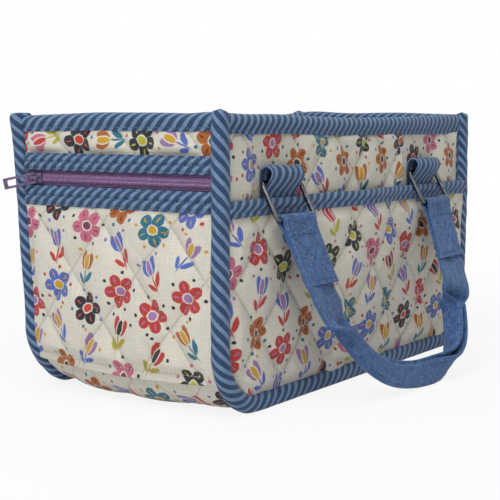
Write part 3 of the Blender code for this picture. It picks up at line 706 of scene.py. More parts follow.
def pocketSurface(side, across, up):
    x = -side * across
    corner = bag["cornerRadius"]
    drop = max(0.0, abs(x) - halfLength + corner)
    foot = corner - math.sqrt(max(0.0, (corner - pocket["footIn"]) ** 2 - drop * drop))
    rise = min(1.0, max(0.0, (up - foot) / (pocketTop - foot)))
    edge = min((halfWidthAt(up, 0.0) - abs(across) - pocket["cover"]) / quilt["sideRise"],
               (up - foot - pocket["hem"]) / quilt["sideRise"],
               (pocketTop - mouth["height"] - pocket["hem"] - up) / quilt["endRise"])
    puff = quilt["puff"] * quilted(across, up, pocket["quiltStart"][side]) * eased(edge)
    out = panelFace + bag["seat"] + mouthGape(x) * math.sin(rise * math.pi / 2) + pocket["thickness"] + puff
    return settled(Vector((x, side * out, up)))


def makeSideLayer(side, kind, layer, top, surface):
    start = layer["quiltStart"][side]
    printX, printY = layer["print"][side]

    def spot(a, b):
        up = mixed(layer["low"], top, b)
        return (2.0 * a - 1.0) * halfWidthAt(up, layer["inset"]), up

    makeQuilted(sideNames[side] + kind, layer, spot,
                lambda across, up: surface(side, across, up),
                lambda across, up: sewnLines(across, up, start),
                lambda across, up: (across + printX, up + printY))


def makeSideLining(side):
    low = lining["low"]
    top = rimTop - lining["topIn"]
    inset = bag["liningIn"]
    rateX, rateZ = lining["sideRate"]

    def place(a, b):
        up = mixed(low, top, b)
        across = (2.0 * a - 1.0) * halfWidthAt(up, inset)
        ripple = lining["ripple"] * noise.noise(Vector((across * rateX, up * rateZ, 4.0 + side)))
        return settled(Vector((side * across, side * (halfDepth - inset + ripple), up)))

    def cut(a, b):
        return (2.0 * a - 1.0) * halfLength, mixed(low, top, b)

    name = sideNames[side] + "_lining"
    shape = clothGrid(*lining["sideCells"], place, cut)
    piece = finished(shape, name + "_cloth", "bag", "lining", [name])
    thickened(piece, lining["thickness"])


for side in (-1, 1):
    makeSideLayer(side, "_panel", panel, rimTop - bag["underRim"], panelSurface)
    makeSideLayer(side, "_pocket", pocket, pocketTop - pocket["topIn"], pocketSurface)
    makeSideLining(side)
print("long sides made")

# gusset: both ends and the base in one strip, with the zip pocket panel over the left end
gusset = {
    "columns": 110, "rows": 420, "half": 0.0885, "thickness": 0.0042, "fill": 0.35,
    "cornerSwell": 0.0045, "baseSwell": 0.9, "endSwell": 0.0016, "endSwellBelow": (0.14, 0.05),
    "swellPower": 0.8,
    "print": (0.031, 0.402), "quiltStart": (0.021, 0.096), "lineBack": 0.1,
    "cover": 0.003, "rimCover": 0.006, "basePuff": 0.15,
    # behind the zip pocket the strip lies flat
    "hiddenIn": 0.0004, "hiddenEnd": (-0.17, 0.01),
    "hiddenAbove": (0.016, 0.010), "hiddenPast": (0.005, 0.004),
}
zipPanel = {
    "columns": 150, "rows": 116, "thickness": 0.0018, "fill": 0.4, "hem": 0.0056, "wrap": math.radians(29),
    "print": (0.008, 0.017), "puff": 0.0052, "lip": 0.0018, "lipShare": 0.8, "lap": 0.004,
    "ripple": 0.0009, "rippleRate": (45.0, 12.0), "rippleEnd": 0.01,
}
wallTop = rimTop - bag["underRim"]
gussetRun = outlineLength(bag["wall"], wallTop)
gusset["lineStart"] = (gusset["quiltStart"][0], gussetRun - gusset["lineBack"])
zipPanelTop = zipTop + zipPanel["lap"]
zipPanelLength = zipPanelTop - bag["cornerRadius"] + (bag["cornerRadius"] - bag["wall"]) * zipPanel["wrap"]


def swellAt(run, y):
    # the strip bellies out between its bindings, most round the lower corners
    x, z, outX, outZ = outlineAt(run, bag["wall"], wallTop)
    over = max(0.0, 1.0 - (y / gusset["half"]) ** 2) ** gusset["swellPower"]
    bend = 2.0 * abs(outX * outZ) * gusset["cornerSwell"]
    under = bag["wall"] * outZ * outZ * gusset["baseSwell"]
    wall = gusset["endSwell"] * outX * outX * short(z, *gusset["endSwellBelow"])
    return over * (bend + under + wall)


def gussetSurface(across, run):
    # across is to the right as seen from outside, so it is -y
    x, z, outX, outZ = outlineAt(run, bag["wall"], wallTop)
    edge = eased((gusset["half"] - abs(across) - gusset["cover"]) / quilt["sideRise"])
    edge *= short(z, wallTop - gusset["rimCover"], quilt["endRise"])
    hidden = short(x, *gusset["hiddenEnd"]) * past(z, *gusset["hiddenAbove"])
    hidden *= short(z, bandTop + gusset["hiddenPast"][0], gusset["hiddenPast"][1])
    flatBase = gusset["basePuff"] + (1.0 - gusset["basePuff"]) * outX * outX
    puff = quilt["puff"] * quilted(across, run, gusset["lineStart"]) * edge * flatBase
    out = swellAt(run, across) + puff * (1.0 - hidden) - gusset["hiddenIn"] * hidden
    return settled(Vector((x + outX * out, -across, z + outZ * out)))


def zipPanelSurface(across, fall):
    # fall is the distance down the cloth from the lower band
    run = gussetRun - (wallTop - zipTop) - fall + zipPanel["lap"]
    x, z, outX, outZ = outlineAt(run, bag["wall"], wallTop)
    edge = eased((gusset["half"] - abs(across) - gusset["cover"]) / quilt["sideRise"])
    edge *= past(fall, zipPanel["lap"], quilt["endRise"])
    edge *= short(fall, zipPanelLength - zipPanel["hem"], quilt["endRise"])
    puff = zipPanel["puff"] * quilted(across, zipPanelTop - fall, gusset["quiltStart"])
    rateX, rateZ = zipPanel["rippleRate"]
    ripple = zipPanel["ripple"] * noise.noise(Vector((across * rateX, fall * rateZ, 9.0)))
    ripple *= short(fall, zipPanelLength, zipPanel["rippleEnd"])
    lip = eased((fall - zipPanelLength + zipPanel["lipShare"] * zipPanel["hem"]) / zipPanel["hem"])
    out = bag["wall"] - bag["seat"] + swellAt(run, across) + puff * edge + ripple + zipPanel["lip"] * lip
    return settled(Vector((x + outX * out, -across, z + outZ * out)))


def makeGussetLining():
    inset = bag["liningIn"]
    half = halfDepth - inset
    top = rimTop - lining["topIn"]
    length = outlineLength(inset, top)
    rateX, rateY = lining["stripRate"]

    def place(a, b):
        x, z, outX, outZ = outlineAt(b * length, inset, top)
        across = (2.0 * a - 1.0) * half
        ripple = lining["ripple"] * noise.noise(Vector((b * rateX, across * rateY, 2.0)))
        lift = max(0.0, -outZ) * lining["overBoard"]
        return settled(Vector((x - outX * ripple, across, z + lift + abs(ripple * outZ))))

    def cut(a, b):
        return b * length, (2.0 * a - 1.0) * half

    shape = clothGrid(*lining["stripCells"], place, cut)
    piece = finished(shape, "gusset_lining_cloth", "bag", "lining", ["gusset_lining"])
    thickened(piece, lining["thickness"])


makeQuilted("gusset", gusset, lambda a, b: ((2.0 * a - 1.0) * gusset["half"], b * gussetRun), gussetSurface,
            lambda across, run: sewnLines(across, run, gusset["lineStart"]),
            lambda across, run: (run + gusset["print"][0], gusset["print"][1] - across))
makeQuilted("zip_pocket_panel", zipPanel,
            lambda a, b: ((2.0 * a - 1.0) * gusset["half"], (1.0 - b) * zipPanelLength), zipPanelSurface,
            lambda across, fall: sewnLines(across, zipPanelTop - fall, gusset["quiltStart"]),
            lambda across, fall: (across + zipPanel["print"][0], zipPanel["print"][1] - fall))
makeGussetLining()
print("gusset, zip pocket panel and gusset lining made")

bindingThread = bmesh.new()  # stitches of every binding, filled in as each one is made
seam = {  # fat roll over the raw seams of the long sides
    "middle": (0.0046, 0.0010), "half": (0.0069, 0.0057), "square": 2.4, "around": 30, "stations": 360,
    "bump": 0.0022, "lump": 0.07, "lumpRate": 70.0,
    "knob": 0.0042, "knobNarrow": 0.07, "knobBelow": (0.02, 0.012),
    "flatTop": 0.82, "flare": 0.24, "flareRun": 0.032,
}
rim = {  # rolled binding of the open top
    "lip": 0.0024, "puff": 0.14, "depth": 0.0109, "round": 0.0052, "lean": 58.0,
    "steps": 14, "stepPower": 1.1, "overSteps": 12, "rowSteps": 200,
    "sideIn": 0.0008, "lipRun": 0.0004, "puffPast": 0.002, "slotIn": 0.001, "slotTop": 0.5,
    "lump": 0.00025, "lumpRate": (70.0, 60.0), "longIn": 0.0075, "endIn": 0.0040,
}
zipBand = {  # folded bands above and below the zip
    "lip": 0.0014, "puff": 0.34, "back": 0.0014, "lipStand": 0.0010, "foot": 0.0001, "endIn": 0.001,
    "steps": 28, "stations": 80, "lump": 0.10, "lumpRate": (70.0, 80.0), "threadOut": 0.0001,
}


def makeSeamBinding(side):
    top = rimTop + seam["bump"]
    length = outlineLength(0.0, top)
    middleIn, middleDeep = seam["middle"]
    section = []  # inset from the outline and depth from the face
    for step in range(seam["around"]):
        turn = 2.0 * math.pi * step / seam["around"]
        reach = abs(math.cos(turn)) ** seam["square"] + abs(math.sin(turn)) ** seam["square"]
        reach **= -1.0 / seam["square"]
        section.append((middleIn + seam["half"][0] * reach * math.cos(turn),
                        middleDeep + seam["half"][1] * reach * math.sin(turn)))

    def place(a, point):
        x, z, outX, outZ = outlineAt(a * length, 0.0, top)
        lumpy = 1.0 + seam["lump"] * noise.noise(Vector((a * seam["lumpRate"], side * 3.0, 1.0)))
        # the ends are folded over the rim into small knobs
        fromEnd = min(a, 1.0 - a) * length
        dome = math.sqrt(max(0.0, 1.0 - max(0.0, 1.0 - fromEnd / seam["knob"]) ** 2))
        if side > 0 and a > 0.5:  # the far left one flares out to a flat top
            lumpy *= 1.0 + seam["flare"] * eased(1.0 - fromEnd / seam["flareRun"])
            lumpy *= mixed(seam["flatTop"], 1.0, dome)
        else:
            lumpy *= dome - dome * seam["knobNarrow"] * short(fromEnd, *seam["knobBelow"])
        inset = middleIn + (point[0] - middleIn) * lumpy
        depth = middleDeep + (point[1] - middleDeep) * lumpy
        return settled(Vector((x - outX * inset, side * (halfDepth - depth), z - outZ * inset)))

    def cut(a, around):
        return biasCut((1.0 - a) * length, around, -side)

    name = sideNames[side] + "_seam_binding"
    shape = swept(seam["stations"], section, place, cut)
    finished(shape, name + "_roll", "bag", "stripe", [name])


def rimSection():
    # inset from the outside and level below the top: outer leg up, over, inner leg down, then the slot
    points = []
    legs = rimHeight - rim["round"]
    lines = (0.0, rim["lip"], rimHeight + rim["puffPast"])
    for step in range(rim["steps"] + 1):
        place = legs * (step / rim["steps"]) ** rim["stepPower"]
        puff = crowned(place, lines, rim["puff"]) * eased(place / rim["lipRun"])
        points.append((rim["sideIn"] - puff, place - rimHeight))
    side = points[-1][0]
    for step in range(1, rim["overSteps"]):
        turn = math.pi * step / rim["overSteps"]
        middle = rim["depth"] / 2
        points.append((middle - (middle - side) * math.cos(turn), rim["round"] * (math.sin(turn) - 1.0)))
    for inset, level in reversed(points[:rim["steps"] + 1]):
        points.append((rim["depth"] - inset, level))
    inner = bag["liningIn"] - rim["slotIn"]
    outer = bag["wall"] + rim["slotIn"]
    slotTop = -rim["round"] * rim["slotTop"]
    return points + [(inner, -rimHeight), (inner, slotTop), (outer, slotTop), (outer, -rimHeight)]


def makeRim(name, length, spot, growth, lean):
    # growth is how much deeper the outer leg is at its two ends
    section = rimSection()
    rateX, rateZ = rim["lumpRate"]

    def place(a, point):
        along = mixed(-length / 2, length / 2, a)
        if point[0] < rim["depth"] / 2:
            point = (point[0], point[1] * mixed(*growth, a))
        lumpy = rim["lump"] * noise.noise(Vector((along * rateX, point[1] * rateZ, len(name))))
        return settled(spot(along, point[0] - lumpy, rimTop + point[1]))

    def cut(a, around):
        return biasCut(a * length, around, 1, lean)

    shape = swept(int(length / bag["station"]), section, place, cut)
    finished(shape, name + "_roll", "bag", "stripe", [name])
    sewn = (rim["lipRun"], rim["lip"] - rimHeight)
    outward = spot(0.0, -1.0, 0.0) - spot(0.0, 0.0, 0.0)
    steps = rim["rowSteps"]
    sewRow(bindingThread, [(place(step / steps, sewn), outward) for step in range(2, steps - 1)])


def makeMouthBinding(side):
    length = 2.0 * (halfLength - mouth["sideIn"] + mouth["tuck"])
    leg, height, fold = mouth["leg"], mouth["height"], mouth["fold"]
    outer = 2.0 * bag["seat"] + pocket["thickness"] + leg
    lines = (0.0, height - mouth["ridge"], height)
    # out from the pocket and level below its mouth: inner leg up, over, then the band and its sewn ridge
    section = [(-leg, -height * (1.0 - step / mouth["legSteps"])) for step in range(mouth["legSteps"])]
    for step in range(mouth["overSteps"]):
        turn = math.pi * step / mouth["overSteps"]
        out = (outer - leg) / 2 - (outer + leg) / 2 * math.cos(turn)
        section.append((out, mouth["crown"] * math.sin(turn) - fold))
    for step in range(mouth["bandSteps"] + 1):
        level = fold + (height - fold) * step / mouth["bandSteps"]
        section.append((outer - mouth["puffIn"] + crowned(level, lines, mouth["puff"]), -level))
    slotTop = -mouth["slotTop"]
    section += [(outer - leg, -height), (outer - leg, slotTop), (0.0, slotTop), (0.0, -height)]
    rateX, rateZ = mouth["lumpRate"]

    def place(a, point):
        across = mixed(-length / 2, length / 2, a)
        x = -side * across
        lumpy = 1.0 + mouth["lump"] * noise.noise(Vector((across * rateX, point[1] * rateZ, side)))
        dip = mouth["dip"] * noise.noise(Vector((across * mouth["dipRate"], 0.0, side * mouth["dipSeed"])))
        out = panelFace + bag["seat"] + mouthGape(x) + point[0] * lumpy
        return settled(Vector((x, side * out, pocketTop + point[1] + dip)))

    def cut(a, around):
        return biasCut(a * length, -around, 1)

    name = sideNames[side] + "_pocket_binding"
    shape = swept(int(length / bag["station"]), section, place, cut)
    finished(shape, name + "_folded", "bag", "stripe", [name])
    sewn = (outer - mouth["threadIn"], mouth["ridge"] - height)
    outward = Vector((0.0, side, 0.0))
    steps = rim["rowSteps"]
    sewRow(bindingThread, [(place(step / steps, sewn), outward) for step in range(2, steps - 1)])


def makeZipBand(name):
    low, high = (corner.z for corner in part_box(name))
    height = high - low
    lip = zipBand["lip"]
    stand = bag["seat"] + zipBand["lipStand"]
    lines = (0.0, lip, height / 2, height - lip, height)
    section = []
    for step in range(zipBand["steps"] + 1):
        level = height * step / zipBand["steps"]
        section.append((stand + crowned(level, lines, zipBand["puff"]), low + level))
    section += [(zipBand["foot"], high), (zipBand["foot"], low)]
    half = gusset["half"] - zipBand["endIn"]
    rateY, rateZ = zipBand["lumpRate"]

    def place(a, point):
        across = mixed(-half, half, a)
        lumpy = 1.0 + zipBand["lump"] * noise.noise(Vector((across * rateY, point[1] * rateZ, low)))
        return Vector((bag["wall"] - halfLength - zipBand["back"] - point[0] * lumpy, -across, point[1]))

    def cut(a, around):
        return biasCut(a * 2.0 * half, around, 1)

    steps = zipBand["stations"]
    finished(swept(steps, section, place, cut), name + "_folded", "bag", "stripe", [name])
    outward = Vector((-1.0, 0.0, 0.0))
    for line in lines[1:-1]:
        sewn = (stand + zipBand["threadOut"], low + line)
        sewRow(bindingThread, [(place(step / steps, sewn), outward) for step in range(1, steps)])


for side in (-1, 1):
    makeSeamBinding(side)
    makeMouthBinding(side)
longRim = 2.0 * (halfLength - rim["longIn"])
endRim = 2.0 * (halfDepth - rim["endIn"])
makeRim("front_rim_binding", longRim,
        lambda along, inset, z: Vector((along, inset - halfDepth, z)), (1.08, 1.28), rim["lean"])
makeRim("back_rim_binding", longRim,
        lambda along, inset, z: Vector((-along, halfDepth - inset, z)), (1.2, 1.08), rim["lean"])
makeRim("left_rim_binding", endRim,
        lambda along, inset, z: Vector((inset - halfLength, -along, z)), (1.0, 1.0), 45.0)
makeRim("right_rim_binding", endRim,
        lambda along, inset, z: Vector((halfLength - inset, along, z)), (1.0, 1.0), 45.0)
makeZipBand("zip_band_upper")
makeZipBand("zip_band_lower")
finished(bindingThread, "binding_stitches", "bag", "steelBlueThread")
print("bindings made")

zipper = {
    "half": 0.0872, "pitch": 0.0016, "tooth": 0.0011, "grow": 0.0005, "mesh": 0.0006, "offset": 0.25,
    "loopFaces": (8, 5), "cord": 0.00055, "cordFaces": 10,
    "ribs": 5, "rib": 0.00042, "ribSteps": 60, "stations": 60,
    "eased": 0.0002, "easedSteps": 2, "sharpAngle": math.radians(30), "flatAngle": math.radians(2),
}


def makeTape(name):
    # woven tape with a few ribs along it, run on under the seam bindings
    low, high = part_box(name)
    middle = (low.x + high.x) / 2
    thick = (high.x - low.x) / 2
    section = []
    for step in range(zipper["ribSteps"] + 1):
        share = step / zipper["ribSteps"]
        rib = zipper["rib"] * math.cos(2.0 * math.pi * zipper["ribs"] * share)
        section.append((middle - thick - rib, mixed(low.z, high.z, share)))
    section += [(middle + thick, high.z), (middle + thick, low.z)]

    def place(a, point):
        return Vector((point[0], mixed(zipper["half"], -zipper["half"], a), point[1]))

    def cut(a, around):
        return (a * 2.0 * zipper["half"], around)

    shape = swept(zipper["stations"], section, place, cut)
    finished(shape, name + "_woven", "bag", "wovenZipTape", [name])


def makeCoil(name, away):
    # a row of nylon loops on each tape, whose tips reach between those of the other row
    low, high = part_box(name)
    shape = bmesh.new()
    middle = (low + high) / 2
    span = 2.0 * zipper["half"]
    count = int(span / zipper["pitch"])
    tall = (high.z - low.z) / 2 + zipper["grow"] + zipper["mesh"] / 2
    level = middle.z + (zipper["grow"] - zipper["mesh"] / 2) * away
    loop = Matrix.Diagonal(((high.x - low.x) / 2, zipper["tooth"] / 2, tall, 1.0))
    facesRound, facesUp = zipper["loopFaces"]
    for index in range(count):
        y = (index + 0.5 + zipper["offset"] * away) * span / count - zipper["half"]
        spot = Matrix.Translation(Vector((middle.x, y, level)))
        bmesh.ops.create_uvsphere(shape, u_segments=facesRound, v_segments=facesUp, radius=1.0,
                                  matrix=spot @ loop)
    # the cord that the loops are sewn over
    spot = Matrix.Translation(middle) @ Matrix.Rotation(math.pi / 2, 4, "X")
    bmesh.ops.create_cone(shape, cap_ends=True, segments=zipper["cordFaces"], radius1=zipper["cord"],
                          radius2=zipper["cord"], depth=span, matrix=spot)
    finished(shape, name + "_loops", "bag", "nylonCoil", [name])


def makeCast(node):
    # the solid's own shape with its edges eased, as cast and tumbled metal has
    shape = bmesh.new()
    shape.from_mesh(bpy.data.objects[node].data)
    bmesh.ops.remove_doubles(shape, verts=shape.verts, dist=weldGap)
    bmesh.ops.dissolve_limit(shape, angle_limit=zipper["flatAngle"], verts=shape.verts, edges=shape.edges)
    sharp = [edge for edge in shape.edges
             if edge.is_manifold and edge.calc_face_angle(0.0) > zipper["sharpAngle"]]
    bmesh.ops.bevel(shape, geom=sharp, offset=zipper["eased"], offset_type="OFFSET", affect="EDGES",
                    segments=zipper["easedSteps"], profile=0.5, material=-1, clamp_overlap=True)
    finished(shape, node + "_cast", node, "enamelledZinc", [node])


makeCoil("zip_coil_upper", 1.0)
makeCoil("zip_coil_lower", -1.0)
makeCast("zip_slider")
makeCast("zip_pull")
makeTape("zip_tape_upper")
makeTape("zip_tape_lower")
boardMesh = bpy.data.objects["base_board"].data
boardMesh.materials.clear()
boardMesh.materials.append(finishes["pressedFibreBoard"])
print("zip made and base board dressed")

tab = {
    "width": 0.040, "thickness": 0.0015, "stand": 0.023, "bulge": 0.012, "tail": 0.018, "slack": 0.0006,
    "backSteps": 10, "overSteps": 16, "frontSteps": 12, "tailSteps": 4, "acrossSteps": 14,
    "edgeRound": 0.6, "cup": 0.0006, "cupFrom": 0.01, "stripeTurn": (0.82, 0.12),
}
ring = {
    "wire": 0.0036, "corner": 0.0045, "height": 0.0296, "mapLength": 0.15, "cornerSteps": 10, "around": 18,
}


def tabPath():
    # out from the panel and level above the pocket mouth: up the back, over, and down in front
    back = bag["seat"] + tab["slack"]
    front = bag["seat"] * 3 + tab["thickness"]
    radius = (tab["bulge"] - tab["slack"] - back) / 2
    crown = tab["stand"] - tab["slack"] - radius
    points = [(back, mixed(-tab["tail"], crown, step / tab["backSteps"])) for step in range(tab["backSteps"])]
    for step in range(tab["overSteps"] + 1):
        turn = math.pi * (1.0 - step / tab["overSteps"])
        points.append((back + radius + radius * math.cos(turn), crown + radius * math.sin(turn)))
    for step in range(1, tab["frontSteps"] + 1):
        drop = step / tab["frontSteps"]
        points.append((mixed(back + 2.0 * radius, front, eased(drop)), crown * (1.0 - drop)))
    for step in range(1, tab["tailSteps"] + 1):
        points.append((front, -tab["tail"] * step / tab["tailSteps"]))
    return points


def makeTab(side, end, name):
    path = tabPath()
    last = len(path) - 1
    runs = routeRuns([Vector(point) for point in path])
    half = tab["width"] / 2
    thick = tab["thickness"] / 2
    steps = tab["acrossSteps"]
    section = [(mixed(-half, half, step / steps), thick) for step in range(steps + 1)]
    section += [(half + thick * tab["edgeRound"], 0.0)]
    section += [(mixed(half, -half, step / steps), -thick) for step in range(steps + 1)]
    section += [(-half - thick * tab["edgeRound"], 0.0)]

    def place(a, point):
        index = round(a * last)
        before = Vector(path[max(0, index - 1)])
        after = Vector(path[min(last, index + 1)])
        ahead = (after - before).normalized()
        out = path[index][0] - ahead.y * point[1]
        level = path[index][1] + ahead.x * point[1]
        cup = tab["cup"] * math.cos(math.pi * point[0] / half) * eased(level / tab["cupFrom"])
        x = tabCentres[end] - side * point[0]
        return settled(Vector((x, side * (panelFace + out + cup), pocketTop + level)))

    def cut(a, around):
        along = runs[round(a * last)]
        return (tab["stripeTurn"][0] * around + tab["stripeTurn"][1] * along, along)

    finished(swept(last, section, place, cut), name + "_loop", "bag", "stripe", [name])


def makeRing(side, name):
    low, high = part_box(name)
    pivot = pivots[sideNames[side] + "_ring_swing"]
    bar = pivots[sideNames[side] + "_handle_swing"]
    down = (bar - pivot).normalized()
    facing = Vector((1, 0, 0)).cross(down)
    half = (high.x - low.x) / 2 - ring["wire"] / 2
    middle = Vector(((low.x + high.x) / 2, pivot.y, pivot.z))
    path = []
    for quarter, (wide, tall) in enumerate(((1, 0), (-1, 0), (-1, 1), (1, 1))):
        inX = wide * (half - ring["corner"])
        inZ = ring["corner"] if tall == 0 else ring["height"] - ring["corner"]
        for step in range(ring["cornerSteps"] + 1):
            turn = math.pi / 2 * (quarter + step / ring["cornerSteps"])
            path.append((inX + ring["corner"] * math.cos(turn), inZ - ring["corner"] * math.sin(turn)))
    count = len(path)
    section = []
    for step in range(ring["around"]):
        turn = 2 * math.pi * step / ring["around"]
        section.append((ring["wire"] / 2 * math.cos(turn), ring["wire"] / 2 * math.sin(turn)))

    def place(a, point):
        index = round(a * count)
        here = Vector(path[index % count])
        ahead = (Vector(path[(index + 1) % count]) - Vector(path[(index - 1) % count])).normalized()
        flatPoint = here + Vector((ahead.y, -ahead.x)) * point[0]
        return middle + Vector((1, 0, 0)) * flatPoint.x + down * flatPoint.y + facing * point[1]

    def cut(a, around):
        return (a * ring["mapLength"], around)

    shape = swept(count, section, place, cut)
    finished(shape, name + "_wire", sideNames[side] + "_rings", "gunmetalPlate", [name])


handle = {
    "spread": 0.1105, "shift": -0.006, "width": 0.042, "thickness": 0.0022, "edgeThin": 0.55,
    "eye": 0.0031, "eyeTurn": (-42, 222), "eyeSteps": 12, "neck": 0.0085,  # round the ring's bar
    "lap": 0.050, "flat": 0.054, "drop": 0.1445, "rest": 0.0102, "fullness": 2.25,
    "skew": 0.0300, "skewPower": 5, "skewFrom": (-0.06, 0.10),  # the loop hangs to the right of its middle
    "across": 18, "edgeSteps": 2, "legSteps": 40, "loopSteps": 150,
    "foldRadius": 0.0023, "foldTurn": 89, "foldOff": 0.0030, "foldOffEnd": (0.55, 0.15), "twistRun": 0.05,
    # metres down from the ring's bar: where each leg starts to fold in two and over what length, its twist
    # before that in degrees, and where the fold turns upright and over what length
    "leftFold": (0.062, 0.026, 9.0, 0.062, 0.026),
    "rightFold": (0.0690, 0.0175, 0.0, 0.098, 0.104),
    "shelf": 0.0016, "shelfUp": 0.005, "shelfRun": 0.009, "tuckIn": 0.0056, "setIn": 0.0042,
    "sway": (-0.0195, 0.0105), "swayFrom": (0.006, 0.074), "swayEnd": (0.225, 0.110),
    "sag": 0.0006, "sagRate": (30.0, 0.2),
    # box and cross sewn on each lap
    "boxTop": 0.0135, "boxIn": 0.0035, "boxLow": 0.0025, "boxSteps": 20, "boxMargin": 0.05,
    "press": 0.0010, "pressWidth": 0.0017, "crossSpread": 1.4, "boxHeight": 0.034,
}


def strapRoute():
    # stations from the left lap end, over the ring's bar, round the loop and over the other bar: (x, out, z)
    sink = handle["drop"] - handle["rest"]
    power = 2.0 / handle["fullness"]
    flatTurn = math.asin((handle["flat"] / sink) ** (1.0 / power))
    layer = handle["thickness"] / 2
    steps = handle["legSteps"]

    def loopAt(turn):
        x = -handle["spread"] * math.copysign(abs(math.cos(turn)) ** power, math.cos(turn))
        return Vector((x, -layer, -sink * math.sin(turn) ** power))

    slant = (handle["spread"] + loopAt(flatTurn).x) / handle["flat"]
    leg = []
    for step in range(steps + 1):
        leg.append(Vector((0.0, layer, mixed(-handle["lap"], -handle["neck"], step / steps))))
    for step in range(handle["eyeSteps"] + 1):
        turn = mixed(*(math.radians(angle) for angle in handle["eyeTurn"]), step / handle["eyeSteps"])
        leg.append(Vector((0.0, handle["eye"] * math.cos(turn), handle["eye"] * math.sin(turn))))
    for step in range(steps + 1):
        leg.append(Vector((0.0, -layer, mixed(-handle["neck"], -handle["flat"], step / steps))))
    left = [Vector((-handle["spread"] - slant * point.z, point.y, point.z)) for point in leg]
    count = handle["loopSteps"]
    loop = [loopAt(mixed(flatTurn, math.pi - flatTurn, step / count)) for step in range(1, count)]
    right = [Vector((-point.x, point.y, point.z)) for point in reversed(left)]
    route = left + loop + right
    for point in route:
        hang = abs(point.z / sink) ** handle["skewPower"]
        point.x += handle["skew"] * hang * past(point.x, *handle["skewFrom"])
    return route, len(left)


def foldSection(bend, off):
    # across the strap: points of its middle layer and their slope, folded off its middle
    count = handle["across"]
    points = []
    for way in (-1, 1):
        half = handle["width"] / 2 + way * off
        side = [(Vector((0.0, 0.0)), 0.0)]
        for step in range(1, count + 1):
            slope = bend * eased(half * (step - 0.5) / count / (2.0 * handle["foldRadius"]))
            here = side[-1][0] + Vector((math.cos(slope), math.sin(slope))) * (half / count)
            side.append((here, bend * eased(half * step / count / (2.0 * handle["foldRadius"]))))
        if way < 0:
            points = [(Vector((-p.x, p.y)), -slope) for p, slope in reversed(side[1:])]
        else:
            points += side
    # flat, the strap stays centred on its route
    shift = off * math.cos(bend)
    return [(p - Vector((shift, 0.0)), slope) for p, slope in points]


def sewnDown(across, fall):
    # how far the stitched box and cross press the lap in
    low = handle["lap"] - handle["boxLow"]
    half = handle["width"] / 2 - handle["boxIn"]
    u = (across + half) / (2.0 * half)
    v = (fall - handle["boxTop"]) / (low - handle["boxTop"])
    margin = handle["boxMargin"]
    if not (-margin < u < 1.0 + margin and -margin < v < 1.0 + margin):
        return 0.0
    away = min(abs(u - v), abs(1.0 - u - v)) * half * handle["crossSpread"]
    away = min(away, abs(v) * handle["boxHeight"], abs(1.0 - v) * handle["boxHeight"])
    return handle["press"] * math.exp(-(away / handle["pressWidth"]) ** 2)


def strapFrames(route, legCount, runs):
    # for each station its place, the ways across and out of the strap, its folded section and its mean level
    count = len(route)
    lapEnd = runs[legCount - 1] - handle["flat"] + handle["neck"]  # run at which the leg leaves the bar
    frames = []
    for index, here in enumerate(route):
        ahead = (route[min(count - 1, index + 1)] - route[max(0, index - 1)]).normalized()
        if index < legCount:
            first = Vector((1.0, 0.0, 0.0))
            opens = Vector((0.0, -ahead.z, ahead.y)).normalized()
        elif index >= count - legCount:
            first = Vector((-1.0, 0.0, 0.0))
            opens = Vector((0.0, ahead.z, -ahead.y)).normalized()
        else:
            first = Vector((-ahead.z, 0.0, ahead.x)).normalized()
            opens = Vector((0.0, 1.0, 0.0))
        fromRight = runs[-1] - runs[index] - lapEnd
        states = []
        for passed, key in ((runs[index] - lapEnd, "leftFold"), (fromRight, "rightFold")):
            foldFrom, foldRun, twist, turnFrom, turnRun = handle[key]
            turned = mixed(twist * eased(passed / handle["twistRun"]), 90.0, past(passed, turnFrom, turnRun))
            states.append((past(passed, foldFrom, foldRun), math.radians(turned)))
        folded = min(states[0][0], states[1][0])
        turn = min(states[0][1], states[1][1])
        # the rear layer shows past the front one on the left only
        points = foldSection(math.radians(handle["foldTurn"]) * folded,
                             handle["foldOff"] * short(index / count, *handle["foldOffEnd"]))
        level = sum(p.y for p, slope in points) / len(points)
        # on the left the outer half folds over the front at once; on the right the fold opens to the front
        # below a shelf of loose cloth, and turns to the inner side along the foot of the loop
        acrossWay = first * math.cos(turn) - opens * math.sin(turn)
        openWay = opens * math.cos(turn) + first * math.sin(turn)
        rightFolded, rightTurn = states[1]
        toShelf = (fromRight - handle["rightFold"][0] + handle["shelfUp"]) / handle["shelfRun"]
        swell = handle["shelf"] * math.exp(-toShelf ** 2)
        swell -= (handle["tuckIn"] * math.sin(math.pi * rightFolded)
                  + handle["setIn"] * rightFolded * math.cos(rightTurn))
        # the right leg hangs out and in from the ring, clear of the pocket when the handle swings in
        hang = fromRight if fromRight > 0.0 else -here.z - handle["neck"]
        sway = past(hang, *handle["swayFrom"]) * short(hang, *handle["swayEnd"])
        swell += handle["sway"][1] * sway
        middle = here + Vector((handle["sway"][0] * sway, swell, 0.0))
        frames.append((middle, acrossWay, openWay, points, level))
    return frames


